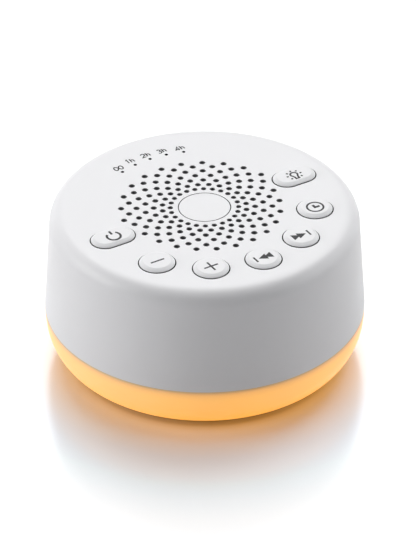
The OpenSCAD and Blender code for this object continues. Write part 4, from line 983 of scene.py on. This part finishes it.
def boardFinish(name, mask, trace):
    # Solder mask over slanting copper tracks one to two millimetres wide, cut off at square fields of 6 mm
    finish, tree, shader, place = startFinish(name)
    fields = addNode(tree, "TexVoronoi", Vector=place, Scale=spotSize(6.0), feature="F1",
                     distance="CHEBYCHEV")
    tracks = addNode(tree, "TexWave", wave_type="BANDS", bands_direction="DIAGONAL", Vector=place,
                     Scale=bandSize(1.3), Distortion=0.0).outputs["Fac"]
    shift = addNode(tree, "Math", operation="ADD", in0=tracks, in1=fields)
    edge = addNode(tree, "MapRange", Value=shift, From_Min=0.72, From_Max=0.78)
    dress(tree, shader, edge, (linear(mask), linear(trace)), edge, 0.03, 0.32)
    return finish


def splitFinish(name, axis, at, low, high, roughness, metalBelow=False):
    # Two colours parted by a plane across one axis at that place in mm, with a fine moulded grain
    finish, tree, shader, place = startFinish(name)
    axes = addNode(tree, "SeparateXYZ", in0=place)
    side = addNode(tree, "Math", operation="GREATER_THAN", in0=axes.outputs[axis], in1=at * mm)
    grain = addNode(tree, "TexNoise", Vector=place, Scale=spotSize(0.12), Detail=3.0)
    dress(tree, shader, side, (linear(low), linear(high)), grain, 0.008, roughness)
    if metalBelow:
        setNode(tree, shader, Metallic=addNode(tree, "Math", operation="SUBTRACT", in0=1.0, in1=side))
    return finish


def stripeFinish(name, colour, groove, width, direction, depth, roughness, metallic=0.0):
    # Stripes of that width with grooves as wide between them; DIAGONAL makes both 1.4 times as wide
    finish, tree, shader, place = startFinish(name)
    setNode(tree, shader, Metallic=metallic)
    wave = addNode(tree, "TexWave", wave_type="BANDS", bands_direction=direction, Vector=place,
                   Scale=bandSize(width), Distortion=0.0).outputs["Fac"]
    dress(tree, shader, wave, (linear(groove), linear(colour)), wave, depth, roughness)
    return finish


# Printed boards under glossy mask: green for the sound boards, white where the lamps sit
greenBoard = boardFinish("greenSolderMask", "#12522f", "#1d6b3e")
whiteBoard = boardFinish("whiteSolderMask", "#e6e6e0", "#efefe9")
# Black moulded epoxy or ink above bright tinned legs and ends
chipEpoxy = splitFinish("chipEpoxyTinnedLegs", 2, 24.22, "#c2c3c4", "#1a1a1c", 0.5, metalBelow=True)
resistorBody = splitFinish("resistorInkTinnedEnds", 2, 24.4, "#c2c3c4", "#1e1e21", 0.45)
# Soft PVC of the leads, one core black and one red
leadPvc = splitFinish("twinLeadPvc", 0, 0.0, "#19191a", "#8f1f1c", 0.45)
# Brown bakelised paper with bright solder tags
terminalBoard = splitFinish("terminalPaper", 1, 23.75, "#6b4526", "#b7b9bb", 0.5)
# Wound enamelled copper: orange turns with dark lines between, drawn wider than the 0.1 mm wire to show
copperCoil = stripeFinish("enamelledCopper", "#c8793f", "#7c4419", 0.16, "Z", 0.06, 0.3, 1.0)
# Grey flat lead, its cores as soft ridges
flatLead = stripeFinish("greyFlatLead", "#b9babc", "#8f9092", 1.0, "DIAGONAL", 0.08, 0.5)
# Open black cloth with a faint sheen, and stiff cotton dipped in brown resin; threads drawn coarse to show
clothWeave = weaveFinish("blackSpeakerCloth", "#202022", "#060607", 0.5, 0.12, 0.85, sheen=0.2)
spiderWeave = weaveFinish("dippedSpiderCotton", "#b98a4c", "#7d5a2b", 0.6, 0.08, 0.6)
# Open-celled foam, dull with deep pores, and smooth moulded rubber
gasketFoam = grainFinish("blackGasketFoam", "#222224", 0.95, 0.35, 0.12, tone=0.4, toneSize=0.8, shine=0.2)
surroundRubber = grainFinish("blackSurroundRubber", "#19191b", 0.6, 0.3, 0.01, tone=0.2, toneSize=5.0)
# Pressed paper pulp with fibres that show as mottling, coarser on the cone than on the dome
conePaper = grainFinish("pressedConePaper", "#242427", 0.85, 0.5, 0.05, tone=0.35, toneSize=1.4, shine=0.25)
domePaper = grainFinish("pressedDomePaper", "#1b1b1e", 0.6, 0.35, 0.02, tone=0.3, toneSize=1.2)
# Grey paint with slight orange peel, and sintered magnet ceramic with a dry, speckled face
basketPaint = grainFinish("basketPaintedSteel", "#35373a", 0.5, 0.5, 0.03, tone=0.15, toneSize=4.0)
ferrite = grainFinish("sinteredFerrite", "#2d2e31", 0.62, 0.25, 0.03, tone=0.3, toneSize=0.9)
# Pressed and plated steel, and the drawn aluminium of the capacitor cans
plateZinc = metalFinish("zincPlateSteel", "#a9abad", 0.36, 0.3, 0.01)
canMetal = metalFinish("capacitorCanAluminium", "#c4c6c8", 0.28, 0.25, 0.004)
# Small mouldings: black switches, cream nylon sockets, yellow phosphor over the LEDs
switchPlastic = grainFinish("blackSwitchPlastic", "#1b1b1d", 0.5, 0.1, 0.006, tone=0.1, toneSize=3.0)
socketNylon = grainFinish("creamSocketNylon", "#ded9c8", 0.5, 0.15, 0.008, tone=0.05, toneSize=3.0)
ledCase = grainFinish("ledCasePhosphor", "#f1dc8a", 0.3, 0.2, 0.004, tone=0.08, toneSize=2.0)

# Soft parts of the speaker: foam gasket, rubber roll, dipped cotton spider, cloth behind the grille
softParts = {"gasketIn": 23.1, "gasketOut": 25.0, "gasketFoot": 48.25, "gasketTop": 49.75, "skin": 0.3,
             "rollMiddle": 20.1, "roll": 1.25, "rollFrom": 17.95, "rollTo": 22.9, "spiderFrom": 7.05,
             "spiderWavy": 13.5, "spiderTo": 15.4, "spiderFoot": 40.3, "wave": 0.5, "waves": 3,
             "cloth": 27.075, "clothTop": 50.05, "bossRoom": 2.3, "pillRoom": 5.55, "foamRound": 0.2,
             "foamTopRound": 0.4, "innerLip": 0.5, "outerLip": 1.0, "ledge": 0.6}


def skinOutline(path, thick):
    # A closed outline round a path (r, z): half the thickness to each side along the path's normals
    along = np.gradient(path, axis=0)
    along /= np.linalg.norm(along, axis=1)[:, None]
    side = np.stack([-along[:, 1], along[:, 0]], -1) * thick / 2
    return np.vstack([path + side, (path - side)[::-1]])


def rollPath(p):
    # Flat lip, half circle hanging down, flat lip
    z = p["gasketFoot"] + p["skin"] / 2
    a = np.radians(np.linspace(180, 360, 25))
    arc = np.stack([p["rollMiddle"] + p["roll"] * np.cos(a), z + p["roll"] * np.sin(a)], -1)
    return np.vstack([[p["rollFrom"], z], [p["rollFrom"] + p["innerLip"], z], arc,
                      [p["rollTo"] - p["outerLip"], z], [p["rollTo"], z]])


def spiderPath(p):
    # Height: a sine with that many waves from the coil to the ledge, then flat on the ledge
    z = p["spiderFoot"] + p["skin"] / 2
    share = np.linspace(0, 1, 61)
    wavy = np.stack([p["spiderFrom"] + (p["spiderWavy"] - p["spiderFrom"]) * share,
                     z + p["wave"] * np.sin(2 * np.pi * p["waves"] * share)], -1)
    return np.vstack([wavy, [p["spiderWavy"] + p["ledge"], z], [p["spiderTo"], z]])


def clothEdge(p, degrees):
    # Where a ray from the middle meets the rim or a notch: for a notch that is b - sqrt(r ** 2 - c ** 2),
    # with b the way along the ray to its centre and c the centre's distance from the ray
    ray = onCircle(1.0, degrees)
    edge = np.full(len(degrees), p["cloth"])
    speakerBoss = bosses["speaker"]
    notches = [(centre, p["bossRoom"]) for centre in onCircle(speakerBoss["ring"], np.array(speakerBoss["angles"]))]
    pillEnd = keys["pillAt"] - keys["pillSpread"]
    notches += [(np.array([side * pillEnd, 0.0]), p["pillRoom"]) for side in (-1, 1)]
    for centre, r in notches:
        b = ray @ centre
        depth = r ** 2 - (centre @ centre - b ** 2)
        near = b - np.sqrt(np.clip(depth, 0, None))
        edge = np.where((b > 0) & (depth > 0), np.minimum(edge, near), edge)
    return edge


def buildCloth(p, edge, degrees):
    # Two flat faces: each row lies at a share of the edge's distance from the middle
    shares = np.array([0.04, 0.4, 0.8, 1.0, 1.0, 0.8, 0.4, 0.04])
    heights = np.repeat([p["clothTop"], p["gasketTop"]], 4)
    flat = onCircle(1.0, degrees)[None] * (shares[:, None] * edge)[..., None]
    return skinned(np.concatenate([flat, np.repeat(heights[:, None, None], len(edge), 1)], -1))


def foamOutline(p):
    # A square ring, its top edges rounder than its foot
    near, far, low, high = p["gasketIn"], p["gasketOut"], p["gasketFoot"], p["gasketTop"]
    return softCorners([(near, low, p["foamRound"]), (far, low, p["foamRound"]), (far, high, p["foamTopRound"]),
                        (near, high, p["foamTopRound"])], closed=True, steps=4)


foamRing = makePiece("foamGasket", turned(foamOutline(softParts), steps=128, closed=True), [gasketFoam],
                     "speaker_gasket")
rollOutline = skinOutline(rollPath(softParts), softParts["skin"])
makePiece("rubberRoll", turned(rollOutline, steps=128, closed=True), [surroundRubber], "speaker_surround")
spiderOutline = skinOutline(spiderPath(softParts), softParts["skin"])
makePiece("cottonSpider", turned(spiderOutline, steps=96, closed=True), [spiderWeave], "speaker_spider")
clothAngles = np.arange(0, 360, 1.0)
clothRim = clothEdge(softParts, clothAngles)
clothSheet = makePiece("grilleCloth", buildCloth(softParts, clothRim, clothAngles), [clothWeave], "dust_cloth")
print("soft parts of the speaker ready")

# The finish of each part that keeps its CAD shape
innerFinishes = [
    (innerAbs, "chassis"), (smokedAcrylic, "timer_light_guide"), (greenBoard, "key_board main_board"),
    (whiteBoard, "light_board"), (ledCase, "timer_leds warm_leds"), (switchPlastic, "tact_switches"),
    (switchPlastic, " ".join(name + "_plunger" for name in keyCentres)),
    (screwZinc, "case_screws key_board_screws speaker_screws main_board_screws light_board_screws"),
    (basketPaint, "speaker_basket"), (conePaper, "speaker_cone"), (domePaper, "dust_dome"),
    (copperCoil, "voice_coil"), (plateZinc, "front_plate speaker_yoke"), (ferrite, "ring_magnet"),
    (terminalBoard, "speaker_terminals"), (chipEpoxy, "sound_chip memory_chip amplifier_chip"),
    (canMetal, "capacitors"), (resistorBody, "chip_resistors"), (socketNylon, "lead_sockets"),
    (leadPvc, "speaker_leads light_leads"), (flatLead, "key_lead"),
]
for finish, names in innerFinishes:
    for name in names.split():
        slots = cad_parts[name].data.materials
        if not slots:
            slots.append(finish)
        for k in range(len(slots)):
            slots[k] = finish
print("inner parts finished")
